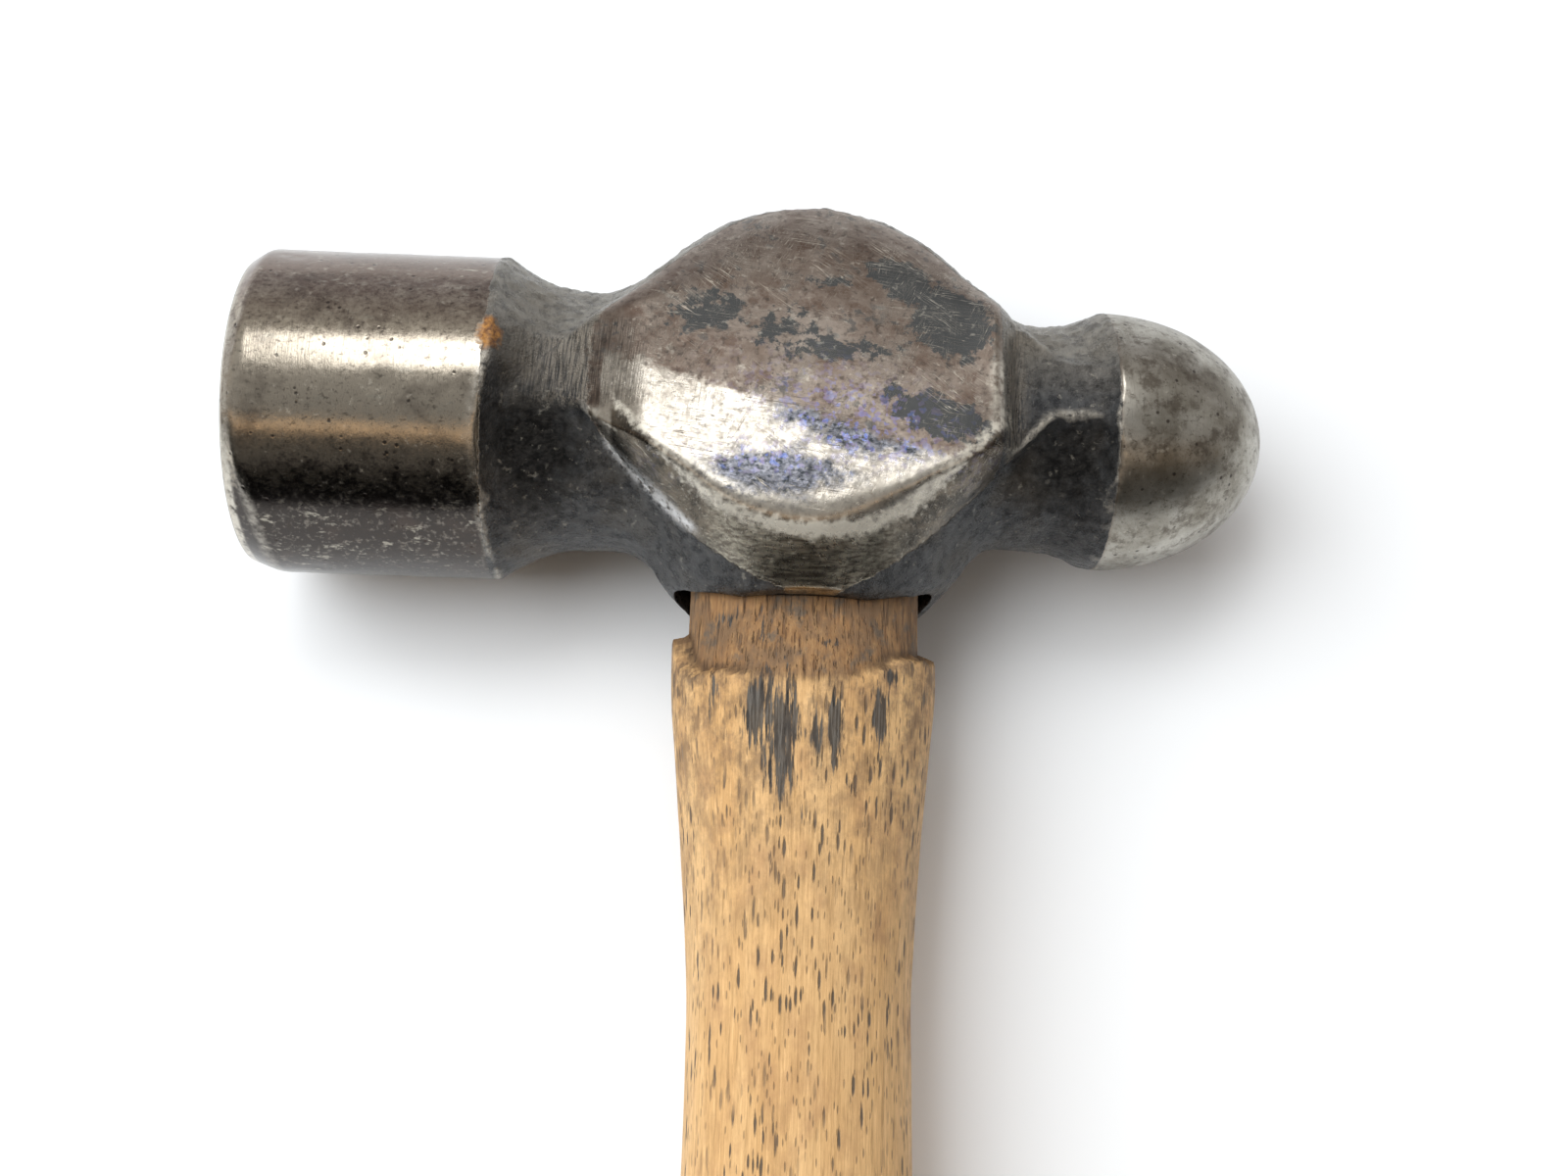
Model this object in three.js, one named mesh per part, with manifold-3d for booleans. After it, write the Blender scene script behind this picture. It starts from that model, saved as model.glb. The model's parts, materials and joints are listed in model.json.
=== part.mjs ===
// Ball peen hammer: a forged steel head wedged onto an oval hardwood handle.
//
// Millimetres, +Z up. The hammer lies on one cheek of its head. X runs along the head
// from the flat striking face to the ball, and the handle runs towards -Y. The origin
// is the centre of the lower cheek, straight below the middle of the eye.

import * as THREE from 'three';
import { mergeVertices } from 'three/addons/utils/BufferGeometryUtils.js';
import Module from 'manifold-3d';

const wasm = await Module();
wasm.setup();
const { Manifold, Mesh: ManifoldMesh } = wasm;

// ---- Driving dimensions ----------------------------------------------------------

// Striking end (poll). Distances along the head are taken from the middle of the eye.
const FACE_DIAMETER = 36;
const EYE_TO_FACE = 61.1;
const POLL_LENGTH = 27.2;
const FACE_CHAMFER_LENGTH = 1.9;
const FACE_CHAMFER_DEPTH = 1.1;
const POLL_BACK_ROUND = 1.1;

// Neck between the poll and the body, where the head is narrowest on that side
const POLL_NECK_DIAMETER = 29;
const POLL_NECK_X = -24.2;
const POLL_NECK_FLAT_WIDTH = 28.2;

// Body: a thick disc lying round the eye, with flat cheeks
const CHEEK_WIDTH = 34.6;
const CHEEK_DIAMETER = 35.2;
const BEVEL_DIAMETER = 44.8;
const BEVEL_WIDTH = 21.6;
const CROWN_DIAMETER = 46.6;

// Neck between the body and the ball
const BALL_NECK_DIAMETER = 25.2;
const BALL_NECK_X = 24.5;
const BALL_NECK_FLAT_WIDTH = 24.8;

// Ball end (peen)
const BALL_DIAMETER = 29;
const BALL_NOSE_LENGTH = 18.4;
const EYE_TO_BALL_TIP = 51.3;
const COLLAR_LENGTH = 1.6;

// Eye: an oval hole, narrowest at its waist and flared towards both mouths
const EYE_LENGTH = 28.2;
const EYE_WIDTH = 19.2;
const EYE_TOP_FLARE = 1.2;
const EYE_BOTTOM_FLARE = 0.3;

// Handle
const HAMMER_LENGTH = 380;
const SHOULDER_GAP = 2.8;
const SHOULDER_LENGTH_X = 28.6;
const SHOULDER_WIDTH_Z = 21.4;
const SHANK_LENGTH_X = 22.8;
const SHANK_WIDTH_Z = 19.2;
const GRIP_LENGTH_X = 33.6;
const GRIP_WIDTH_Z = 26.8;
const BUTT_LENGTH = 7.2;
const BUTT_INSET = 8.7;

// How much of the shoulder's flare is left at each distance below the shoulder
const SHOULDER_FLARE = [
  [0, 0.93], [1.2, 1], [5, 1], [11, 0.78], [19, 0.48], [27, 0.22], [37, 0],
];

// How much of the grip's swell is reached at each share of the way to the butt
const GRIP_SWELL = [
  [0.16, 0.01], [0.24, 0.09], [0.34, 0.27], [0.46, 0.54],
  [0.58, 0.77], [0.7, 0.92], [0.82, 1], [0.92, 1],
];

// Wedges
const WOOD_WEDGE_THICKNESS = 3.2;
const WOOD_WEDGE_TIP = 1;
const WOOD_WEDGE_DEPTH = 30;
const STEEL_WEDGE_THICKNESS = 2;
const STEEL_WEDGE_TIP = 0.8;
const STEEL_WEDGE_WIDTH = 12;
const STEEL_WEDGE_DEPTH = 15;
const STEEL_WEDGE_SPACING = 12;

// Clearances between pieces that touch on the real hammer
const FIT_GAP = 0.3;
const TENON_END_GAP = 1.5;
const FLUSH_SET_BACK = 0.5;

// Facets
const ROUND_SEGMENTS = 48;
const CURVE_STEPS = 6;
const NOSE_STEPS = 9;
const EYE_STEPS = 8;
const TENON_STEPS = 10;
const BUTT_ANGLES = [0, 22.5, 45, 67.5, 82];

// ---- Values that follow from them ------------------------------------------------

const POLL_BACK_X = POLL_LENGTH - EYE_TO_FACE;
const BALL_CENTRE_X = EYE_TO_BALL_TIP - BALL_NOSE_LENGTH;
const BODY_RADIUS = CROWN_DIAMETER / 2;
const HEAD_TOP_Y = BODY_RADIUS;
const HEAD_BOTTOM_Y = -BODY_RADIUS;
const SHOULDER_Y = HEAD_BOTTOM_Y - SHOULDER_GAP;
const BUTT_Y = HEAD_TOP_Y - HAMMER_LENGTH;

// How far a cutting solid runs past what it cuts
const OVERSHOOT = 5;

// ---- Geometry helpers ------------------------------------------------------------

/** The solid bounded by a closed three.js geometry. */
function solid(geometry) {
  const bare = geometry.clone();
  bare.deleteAttribute('normal');
  bare.deleteAttribute('uv');
  const merged = mergeVertices(bare);
  const corners = [];
  for (let i = 0; i < merged.index.count; i += 3) {
    const [a, b, c] = [0, 1, 2].map((k) => merged.index.getX(i + k));
    if (a !== b && b !== c && c !== a) corners.push(a, b, c);
  }
  return new Manifold(new ManifoldMesh({
    numProp: 3,
    vertProperties: new Float32Array(merged.attributes.position.array),
    triVerts: new Uint32Array(corners),
  }));
}

/** A three.js geometry of a solid, with flat facets. */
function geometryOf(shape) {
  const mesh = shape.getMesh();
  const geometry = new THREE.BufferGeometry();
  geometry.setAttribute('position', new THREE.BufferAttribute(mesh.vertProperties, 3));
  geometry.setIndex(new THREE.BufferAttribute(mesh.triVerts, 1));
  geometry.computeVertexNormals();
  return geometry;
}

/** A solid turned about X from a path of (radius, x) points. */
function turnedAboutX(path, steps) {
  const points = path.getPoints(steps);
  return solid(new THREE.LatheGeometry(points, ROUND_SEGMENTS).rotateZ(-Math.PI / 2));
}

/** A solid turned about Z from (radius, z) points. */
function turnedAboutZ(points) {
  const profile = points.map(([radius, z]) => new THREE.Vector2(radius, z));
  return solid(new THREE.LatheGeometry(profile, ROUND_SEGMENTS).rotateX(Math.PI / 2));
}

/** An oval solid along Y, from stations of y, half length in X and half width in Z. */
function ovalAlongY(stations) {
  const closed = [
    { y: stations[0].y, halfX: 0, halfZ: 0 },
    ...stations,
    { y: stations.at(-1).y, halfX: 0, halfZ: 0 },
  ];
  const profile = closed.map(({ y, halfX }) => new THREE.Vector2(halfX, y));
  const geometry = new THREE.LatheGeometry(profile, ROUND_SEGMENTS);
  const position = geometry.attributes.position;
  for (let i = 0; i < position.count; i += 1) {
    const { halfX, halfZ } = closed[i % closed.length];
    if (halfX > 0) position.setZ(i, position.getZ(i) * (halfZ / halfX));
  }
  return solid(geometry);
}

/** A prism along Z, centred on z = 0, of an outline of (x, y) points. */
function prismAlongZ(outline, length) {
  const shape = new THREE.Shape(outline.map(([x, y]) => new THREE.Vector2(x, y)));
  const geometry = new THREE.ExtrudeGeometry(shape, { depth: length, bevelEnabled: false });
  return solid(geometry.translate(0, 0, -length / 2));
}

function mix(from, to, share) {
  return from + (to - from) * share;
}

// ---- Head ------------------------------------------------------------------------

/** Poll, necks and ball: one outline turned about the head's axis. */
function headSpindle() {
  const faceRadius = FACE_DIAMETER / 2;
  const pollNeck = POLL_NECK_DIAMETER / 2;
  const ballNeck = BALL_NECK_DIAMETER / 2;
  const ball = BALL_DIAMETER / 2;
  const bodyCore = CHEEK_DIAMETER / 2;
  const path = new THREE.Path();
  path.moveTo(0, -EYE_TO_FACE);
  path.lineTo(faceRadius - FACE_CHAMFER_DEPTH, -EYE_TO_FACE);
  path.lineTo(faceRadius, FACE_CHAMFER_LENGTH - EYE_TO_FACE);
  path.lineTo(faceRadius, POLL_BACK_X - POLL_BACK_ROUND);
  path.lineTo(faceRadius - POLL_BACK_ROUND, POLL_BACK_X);
  path.bezierCurveTo(
    mix(faceRadius, pollNeck, 0.75), mix(POLL_BACK_X, POLL_NECK_X, 0.2),
    pollNeck, mix(POLL_BACK_X, POLL_NECK_X, 0.45),
    pollNeck, POLL_NECK_X,
  );
  path.quadraticCurveTo(pollNeck, -bodyCore - 2.5, bodyCore, -bodyCore + 2);
  path.lineTo(bodyCore, bodyCore - 4);
  path.quadraticCurveTo(ballNeck, bodyCore, ballNeck, BALL_NECK_X - 1);
  path.lineTo(ballNeck, BALL_NECK_X + 1);
  path.bezierCurveTo(
    ballNeck, mix(BALL_NECK_X, BALL_CENTRE_X, 0.55),
    mix(ballNeck, ball, 0.6), BALL_CENTRE_X - COLLAR_LENGTH,
    ball, BALL_CENTRE_X,
  );
  for (let i = 1; i <= NOSE_STEPS; i += 1) {
    const turn = (i / NOSE_STEPS) * (Math.PI / 2);
    const radius = i < NOSE_STEPS ? ball * Math.cos(turn) : 0;
    path.lineTo(radius, BALL_CENTRE_X + BALL_NOSE_LENGTH * Math.sin(turn));
  }
  return turnedAboutX(path, CURVE_STEPS);
}

/** The room between the two cheek planes, waisted at the necks, open at both ends. */
function cheekLimits() {
  const cheek = CHEEK_WIDTH / 2;
  const wide = FACE_DIAMETER;
  const upper = [
    [-EYE_TO_FACE - OVERSHOOT, wide],
    [POLL_BACK_X - POLL_BACK_ROUND, wide],
    [POLL_BACK_X + 0.5, POLL_NECK_FLAT_WIDTH / 2 + 1.5],
    [POLL_NECK_X - 5, POLL_NECK_FLAT_WIDTH / 2],
    [POLL_NECK_X + 1, POLL_NECK_FLAT_WIDTH / 2],
    [-CHEEK_DIAMETER / 2 - 1, cheek - 0.6],
    [-CHEEK_DIAMETER / 2 + 3, cheek],
    [CHEEK_DIAMETER / 2 + 2.4, cheek],
    [CHEEK_DIAMETER / 2 + 4, BALL_NECK_FLAT_WIDTH / 2 + 0.6],
    [BALL_NECK_X, BALL_NECK_FLAT_WIDTH / 2],
    [BALL_CENTRE_X - COLLAR_LENGTH - 1.5, BALL_NECK_FLAT_WIDTH / 2 + 0.5],
    [BALL_CENTRE_X - COLLAR_LENGTH, wide],
    [EYE_TO_BALL_TIP + OVERSHOOT, wide],
  ];
  const lower = upper.map(([x, z]) => [x, -z]).reverse();
  return prismAlongZ([...upper, ...lower], 4 * wide).rotate([90, 0, 0]);
}

/** The thick disc round the eye: flat cheeks, a bevel round each, and a crowned rim. */
function bodyDisc() {
  const cheek = CHEEK_WIDTH / 2;
  const half = [
    [BODY_RADIUS, 0],
    [BODY_RADIUS - 0.5, BEVEL_WIDTH / 4],
    [BEVEL_DIAMETER / 2, BEVEL_WIDTH / 2],
    [mix(BEVEL_DIAMETER, CHEEK_DIAMETER, 0.45) / 2, mix(BEVEL_WIDTH, CHEEK_WIDTH, 0.6) / 2],
    [CHEEK_DIAMETER / 2, cheek],
    [0, cheek],
  ];
  const mirrored = half.slice(1).map(([radius, z]) => [radius, -z]).reverse();
  return turnedAboutZ([...mirrored, ...half]);
}

/** Half length (X) and half width (Z) of the eye at a height along the handle axis. */
function eyeAt(y) {
  const waistY = mix(HEAD_BOTTOM_Y, HEAD_TOP_Y, 0.35);
  const up = Math.max(0, (y - waistY) / (HEAD_TOP_Y - waistY));
  const down = Math.max(0, (waistY - y) / (waistY - HEAD_BOTTOM_Y));
  const flare = EYE_TOP_FLARE * up * up + EYE_BOTTOM_FLARE * down * down;
  return { y, halfX: EYE_LENGTH / 2 + flare, halfZ: EYE_WIDTH / 2 + flare };
}

function eyeHeights(from, to, steps) {
  return Array.from({ length: steps + 1 }, (_, i) => mix(from, to, i / steps));
}

function hammerHead() {
  const spindle = headSpindle().intersect(cheekLimits());
  const heights = eyeHeights(HEAD_BOTTOM_Y - 1, HEAD_TOP_Y + 1, EYE_STEPS);
  const eye = ovalAlongY(heights.map(eyeAt));
  return spindle.add(bodyDisc()).subtract(eye);
}

// ---- Handle and wedges -----------------------------------------------------------

/** Everything below the crown of the head, so that what fills the eye ends flush. */
function flushLimit() {
  const length = 2 * CHEEK_WIDTH;
  const radius = BODY_RADIUS - FLUSH_SET_BACK;
  const round = new THREE.CylinderGeometry(radius, radius, length, 2 * ROUND_SEGMENTS);
  const crown = solid(round.rotateX(Math.PI / 2));
  const box = new THREE.BoxGeometry(4 * CHEEK_WIDTH, HAMMER_LENGTH, length);
  return crown.add(solid(box.translate(0, -HAMMER_LENGTH / 2, 0)));
}

/** A wedge that points down the handle, its faces `gap` proud of the real ones. */
function wedge(thickness, tip, width, depth, gap) {
  const top = HEAD_TOP_Y + OVERSHOOT;
  const growth = ((thickness - tip) * OVERSHOOT) / depth;
  const halfTop = (thickness + growth) / 2 + gap;
  const halfTip = tip / 2 + gap;
  const bottom = HEAD_TOP_Y - depth - gap;
  const outline = [[-halfTip, bottom], [halfTip, bottom], [halfTop, top], [-halfTop, top]];
  return prismAlongZ(outline, width + 2 * gap);
}

function woodWedge(gap, width) {
  const shape = wedge(WOOD_WEDGE_THICKNESS, WOOD_WEDGE_TIP, width, WOOD_WEDGE_DEPTH, gap);
  return shape.rotate([0, 90, 0]);
}

function steelWedge(gap, side) {
  const shape = wedge(
    STEEL_WEDGE_THICKNESS, STEEL_WEDGE_TIP, STEEL_WEDGE_WIDTH, STEEL_WEDGE_DEPTH, gap,
  );
  return shape.translate([(side * STEEL_WEDGE_SPACING) / 2, 0, 0]);
}

/** The part of the handle inside the eye: tight on the cheeks, loose at the low ends. */
function tenon() {
  const heights = eyeHeights(SHOULDER_Y - OVERSHOOT, HEAD_TOP_Y + 1, TENON_STEPS);
  const stations = heights.map((y) => {
    const eye = eyeAt(Math.max(y, HEAD_BOTTOM_Y));
    const share = (HEAD_TOP_Y - y) / (HEAD_TOP_Y - HEAD_BOTTOM_Y);
    const endGap = mix(FIT_GAP, TENON_END_GAP, THREE.MathUtils.clamp(share, 0, 1));
    return { y, halfX: eye.halfX - endGap, halfZ: eye.halfZ - FIT_GAP };
  });
  return ovalAlongY(stations);
}

/** The handle below the head: shoulder, slim shank, swelled grip and rounded butt. */
function shank() {
  const shoulder = SHOULDER_FLARE.map(([drop, flare]) => ({
    y: SHOULDER_Y - drop,
    halfX: mix(SHANK_LENGTH_X, SHOULDER_LENGTH_X, flare) / 2,
    halfZ: mix(SHANK_WIDTH_Z, SHOULDER_WIDTH_Z, flare) / 2,
  }));
  const grip = GRIP_SWELL.map(([share, swell]) => ({
    y: mix(SHOULDER_Y, BUTT_Y, share),
    halfX: mix(SHANK_LENGTH_X, GRIP_LENGTH_X, swell) / 2,
    halfZ: mix(SHANK_WIDTH_Z, GRIP_WIDTH_Z, swell) / 2,
  }));
  const butt = BUTT_ANGLES.map((degrees) => {
    const turn = THREE.MathUtils.degToRad(degrees);
    const inset = BUTT_INSET * (1 - Math.cos(turn));
    return {
      y: BUTT_Y + BUTT_LENGTH * (1 - Math.sin(turn)),
      halfX: GRIP_LENGTH_X / 2 - inset,
      halfZ: GRIP_WIDTH_Z / 2 - inset,
    };
  });
  return ovalAlongY([...shoulder, ...grip, ...butt].reverse());
}

function handle() {
  const kerf = woodWedge(FIT_GAP, 2 * EYE_LENGTH);
  const slots = [-1, 1].map((side) => steelWedge(FIT_GAP, side));
  return [kerf, ...slots].reduce(
    (wood, cut) => wood.subtract(cut),
    tenon().add(shank()).intersect(flushLimit()),
  );
}

function kerfWedge() {
  const width = EYE_LENGTH - 2 * TENON_END_GAP;
  const slots = [-1, 1].map((side) => steelWedge(FIT_GAP, side));
  return slots.reduce(
    (wood, cut) => wood.subtract(cut),
    woodWedge(0, width).intersect(flushLimit()),
  );
}

function crossWedge(side) {
  return steelWedge(0, side).intersect(flushLimit());
}

// ---- Assembly --------------------------------------------------------------------

const FORGED_STEEL = { color: 0x6e675f, roughness: 0.42, metalness: 0.9 };
const HARDWOOD = { color: 0xc4975f, roughness: 0.75, metalness: 0 };
const WEDGE_WOOD = { color: 0xb98d5a, roughness: 0.8, metalness: 0 };
const WEDGE_STEEL = { color: 0x77706a, roughness: 0.55, metalness: 0.9 };

const hammer = new THREE.Group();
hammer.position.z = CHEEK_WIDTH / 2;

function addPiece(name, shape, finish) {
  const mesh = new THREE.Mesh(geometryOf(shape), new THREE.MeshStandardMaterial(finish));
  mesh.name = name;
  hammer.add(mesh);
}

addPiece('hammer_head', hammerHead(), FORGED_STEEL);
addPiece('handle', handle(), HARDWOOD);
addPiece('wooden_kerf_wedge', kerfWedge(), WEDGE_WOOD);
addPiece('steel_wedge_face_side', crossWedge(-1), WEDGE_STEEL);
addPiece('steel_wedge_ball_side', crossWedge(1), WEDGE_STEEL);

export default hammer;
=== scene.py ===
"""Ball peen hammer: the looks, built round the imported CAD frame.

Shapes are worked out in millimetres about the middle of the head: X runs along the head from
the striking face to the ball, Y up the handle and Z out of the upper cheek. AXIS_HEIGHT lifts
them to where the frame has the head, and everything is in metres from there on.
"""

import json
import math

import bpy
import numpy as np
from mathutils import Matrix, Vector


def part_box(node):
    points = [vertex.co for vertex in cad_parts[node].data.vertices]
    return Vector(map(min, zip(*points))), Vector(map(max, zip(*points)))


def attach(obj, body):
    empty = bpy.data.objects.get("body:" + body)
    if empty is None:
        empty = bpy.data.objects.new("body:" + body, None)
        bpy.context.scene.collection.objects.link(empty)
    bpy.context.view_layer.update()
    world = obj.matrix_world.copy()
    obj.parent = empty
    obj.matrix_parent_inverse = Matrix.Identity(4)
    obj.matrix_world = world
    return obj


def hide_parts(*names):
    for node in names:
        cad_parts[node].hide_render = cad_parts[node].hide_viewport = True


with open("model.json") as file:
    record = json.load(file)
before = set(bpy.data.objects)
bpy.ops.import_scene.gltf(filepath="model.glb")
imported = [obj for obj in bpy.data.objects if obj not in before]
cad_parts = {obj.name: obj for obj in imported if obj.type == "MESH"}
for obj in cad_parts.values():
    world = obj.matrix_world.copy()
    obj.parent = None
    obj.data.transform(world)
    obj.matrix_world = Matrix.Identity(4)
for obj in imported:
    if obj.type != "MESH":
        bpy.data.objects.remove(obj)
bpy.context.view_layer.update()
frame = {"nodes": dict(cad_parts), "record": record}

MM = 0.001
HEAD_BOX = [[c / MM for c in corner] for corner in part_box("hammer_head")]
HANDLE_BOX = [[c / MM for c in corner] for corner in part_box("handle")]
STRIKE_MOUNT = next(m for m in frame["record"]["mounts"] if m["name"] == "striking_face")

# ---- Sizes in millimetres ---------------------------------------------------------------

AXIS_HEIGHT = STRIKE_MOUNT["pos_m"][2] / MM
FACE_X = HEAD_BOX[0][0]
TIP_X = HEAD_BOX[1][0]
BUTT_Y = HANDLE_BOX[0][1]

POLL_RADIUS = 18.0
POLL_BACK_X = -33.7
CHAMFER_LENGTH = 1.7
CHAMFER_DEPTH = 1.1

POLL_NECK_RADIUS = 14.4
POLL_NECK_FLAT = 14.1
BALL_NECK_RADIUS = 12.7
BALL_NECK_FLAT = 13.5

# The thick disc round the eye: two flat cheeks, a bevel round each and the crown between
CHEEK = 17.3
CHEEK_RADIUS = 17.5
CHEEK_END_X = 19.6
CHEEK_LEAN = math.radians(5.2)
CHEEK_DOME = 0.0035
FAR_CHEEK_DOME = 0.002
CHEEK_TURN = math.radians(1.3)
BEVEL_HEIGHT = 10.8
CROWN_RADIUS = 23.2
BODY_REACH = 21.0

# Where the bevel meets the crown: on the middle line and at the sides, above and below
FOOT_ABOVE = (22.9, 22.1)
FOOT_BELOW = (22.8, 20.4)
FULL_CORNERS = (1.4, 0.9)
FULL_SIDES = 0.5
LIP_DROP = 1.1
RIM_WEAR = 1.0

BALL_X = 33.0
BALL_RADIUS = 14.5

EYE_HALF_X = 14.1
EYE_HALF_Z = 9.6
EYE_FLARE = 1.0

SHANK_TOP_Y = -27.5
TENON_HALF_X = 12.5
TENON_HALF_Z = 9.3
TENON_GAP = 0.3
NECK_Y = -24.0
WEDGE_CORNER = 0.16
WEDGE_ROOM = 0.12
SLOT_RISE = 4.0
TRIM_ABOVE_Y = 14

AROUND_HEAD = 288
AROUND_HANDLE = 168
AROUND_WEDGE = 64
CLEAR_OF_BOX = 0.005
WAVE_COUNT = 28
DENT_COUNT = 150
DENT_SEED = 5
STATION_SAMPLES = 9001


# ---- Small helpers ----------------------------------------------------------------------


def mix(a, b, t):
    return a + (b - a) * t


def ease(low, high, x):
    t = np.clip((x - low) / (high - low), 0.0, 1.0)
    return t * t * (3.0 - 2.0 * t)


def bump(x, centre, width):
    return np.exp(-(((x - centre) / width) ** 2))


def smooth_min(a, b, k):
    h = np.clip(0.5 + 0.5 * (b - a) / k, 0.0, 1.0)
    return mix(b, a, h) - k * h * (1.0 - h)


def smooth_max(a, b, k):
    return -smooth_min(-a, -b, k)


def waves(points, wavelength, seed, stretch=(1.0, 1.0, 1.0)):
    """Smooth random relief between about -1 and 1, from plane waves in random directions."""
    rng = np.random.default_rng(seed)
    toward = rng.normal(size=(WAVE_COUNT, 3))
    toward /= np.linalg.norm(toward, axis=1)[:, None]
    pace = 2 * math.pi / (wavelength * rng.uniform(0.7, 1.45, WAVE_COUNT))
    k = toward * pace[:, None] / np.asarray(stretch)
    phase = rng.uniform(0, 2 * math.pi, WAVE_COUNT)
    total = np.zeros(points.shape[:-1])
    for i in range(WAVE_COUNT):
        total += np.cos(points @ k[i] + phase[i])
    return total * math.sqrt(2.0 / WAVE_COUNT) / 2.0


def even_stations(start, stop, pace):
    """Places between start and stop, `pace(x)` of them to the millimetre."""
    dense = np.linspace(start, stop, STATION_SAMPLES)
    each = pace(dense)
    step = abs(dense[1] - dense[0])
    grown = np.concatenate([[0], np.cumsum((each[1:] + each[:-1]) / 2 * step)])
    return np.interp(np.linspace(0, grown[-1], int(grown[-1])), grown, dense)


def reach_of(x, y):
    """Distance from the eye's middle line: round above and below, straight at the sides."""
    across, along = np.abs(x), np.abs(y)
    return np.where(along > across, np.hypot(x, y), (across + along) / math.sqrt(2.0))


def away_from_axis(points, across):
    """Unit vectors straight away from an axis: `across` is 0 along the axis and 1 elsewhere."""
    out = points * np.array(across)
    return out / np.maximum(np.linalg.norm(out, axis=1), 0.1)[:, None]


def tube_faces(rings, around):
    faces = []
    for i in range(rings - 1):
        for j in range(around):
            k = (j + 1) % around
            here, above = i * around, (i + 1) * around
            faces.append((here + j, above + j, above + k, here + k))
    return faces


def capped_tube(name, grid, caps=((), ())):
    """A closed mesh from rings of points, with shrinking rings over each end.

    `caps` gives, for the first and the last ring, the shares at which the rings shrink.
    """
    rings, around = grid.shape[:2]
    verts = [grid.reshape(-1, 3)]
    faces = tube_faces(rings, around)
    count = rings * around
    for end, shares in zip((0, rings - 1), caps):
        ring = grid[end]
        middle = ring.mean(axis=0)
        previous = end * around
        for share in shares:
            verts.append(middle + (ring - middle) * share)
            for j in range(around):
                k = (j + 1) % around
                face = (previous + j, previous + k, count + k, count + j)
                faces.append(face if end == 0 else face[::-1])
            previous = count
            count += around
        verts.append(middle[None])
        for j in range(around):
            face = (previous + j, previous + (j + 1) % around, count)
            faces.append(face if end == 0 else face[::-1])
        count += 1
    return new_piece(name, np.concatenate(verts), faces)


def frame_points(node):
    """Points of one of the frame's solids in millimetres, with its own Z."""
    return np.array([v.co[:] for v in frame["nodes"][node].data.vertices]) / MM


def read(items, name, width, kind=float):
    """An attribute of all the items of a mesh as an array with `width` columns."""
    flat = np.empty(len(items) * width, dtype=kind)
    items.foreach_get(name, flat)
    return flat.reshape(-1, width)


def volume_of(mesh):
    """Volume of a closed mesh: negative when its faces look inwards."""
    mesh.calc_loop_triangles()
    corners = read(mesh.loop_triangles, "vertices", 3, np.int64)
    a, b, c = read(mesh.vertices, "co", 3)[corners.T]
    return np.einsum("ij,ij->", a, np.cross(b, c)) / 6


def new_piece(name, points, faces):
    """An object in metres from millimetre points about the middle of the head."""
    mesh = bpy.data.meshes.new(name)
    placed = (points + np.array([0, 0, AXIS_HEIGHT])) * MM
    mesh.from_pydata(placed.tolist(), [], faces)
    mesh.update()
    if volume_of(mesh) < 0:
        mesh.flip_normals()
    piece = bpy.data.objects.new(name, mesh)
    bpy.context.scene.collection.objects.link(piece)
    return piece


def points_of(piece):
    """The piece's points in millimetres about the middle of the head."""
    return read(piece.data.vertices, "co", 3) / MM - np.array([0, 0, AXIS_HEIGHT])


def set_points(piece, points):
    placed = (points + np.array([0, 0, AXIS_HEIGHT])) * MM
    piece.data.vertices.foreach_set("co", placed.ravel())
    piece.data.update()


def write_mask(piece, name, values):
    layer = piece.data.attributes.new(name, "FLOAT", "POINT")
    layer.data.foreach_set("value", np.asarray(values, dtype=np.float32))


def cut(piece, cutter):
    """Takes the cutter's solid out of the piece, and removes the cutter."""
    modifier = piece.modifiers.new("cut", "BOOLEAN")
    modifier.operation = "DIFFERENCE"
    modifier.solver = "MANIFOLD"
    modifier.object = cutter
    evaluated = piece.evaluated_get(bpy.context.evaluated_depsgraph_get())
    result = bpy.data.meshes.new_from_object(evaluated)
    piece.modifiers.clear()
    result.materials.clear()
    result.polygons.foreach_set("material_index", [0] * len(result.polygons))
    old = piece.data
    piece.data = result
    bpy.data.meshes.remove(old)
    bpy.data.objects.remove(cutter)


def standing_proud(piece, rounds):
    """How far each point stands out of its smoothed surroundings, in mm: edges are positive."""
    points = points_of(piece)
    edges = read(piece.data.edges, "vertices", 2, np.int64)
    normals = read(piece.data.vertices, "normal", 3)
    degree = np.bincount(edges.ravel(), minlength=len(points))[:, None]
    smooth = points.copy()
    for _ in range(rounds):
        total = np.zeros_like(smooth)
        for axis in range(3):
            total[:, axis] += np.bincount(edges[:, 0], smooth[edges[:, 1], axis], len(points))
            total[:, axis] += np.bincount(edges[:, 1], smooth[edges[:, 0], axis], len(points))
        smooth = mix(smooth, total / degree, 0.7)
    return ((points - smooth) * normals).sum(axis=1)


# ---- Head shape -------------------------------------------------------------------------


def top_height(x):
    """Height of the flat cheek over the head's axis, with its run down to each neck."""
    left = mix(POLL_NECK_FLAT, CHEEK, ease(-28.0, -17.0, x))
    right = mix(CHEEK, BALL_NECK_FLAT - 0.1, ease(CHEEK_END_X - 0.6, CHEEK_END_X + 2.8, x))
    return np.where(x < 0, left, right)


def cheek_fall(y):
    """How far the upper cheek, ground by hand, drops away from flat towards the crown."""
    return math.tan(CHEEK_LEAN) * y + CHEEK_DOME * y**2


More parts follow.
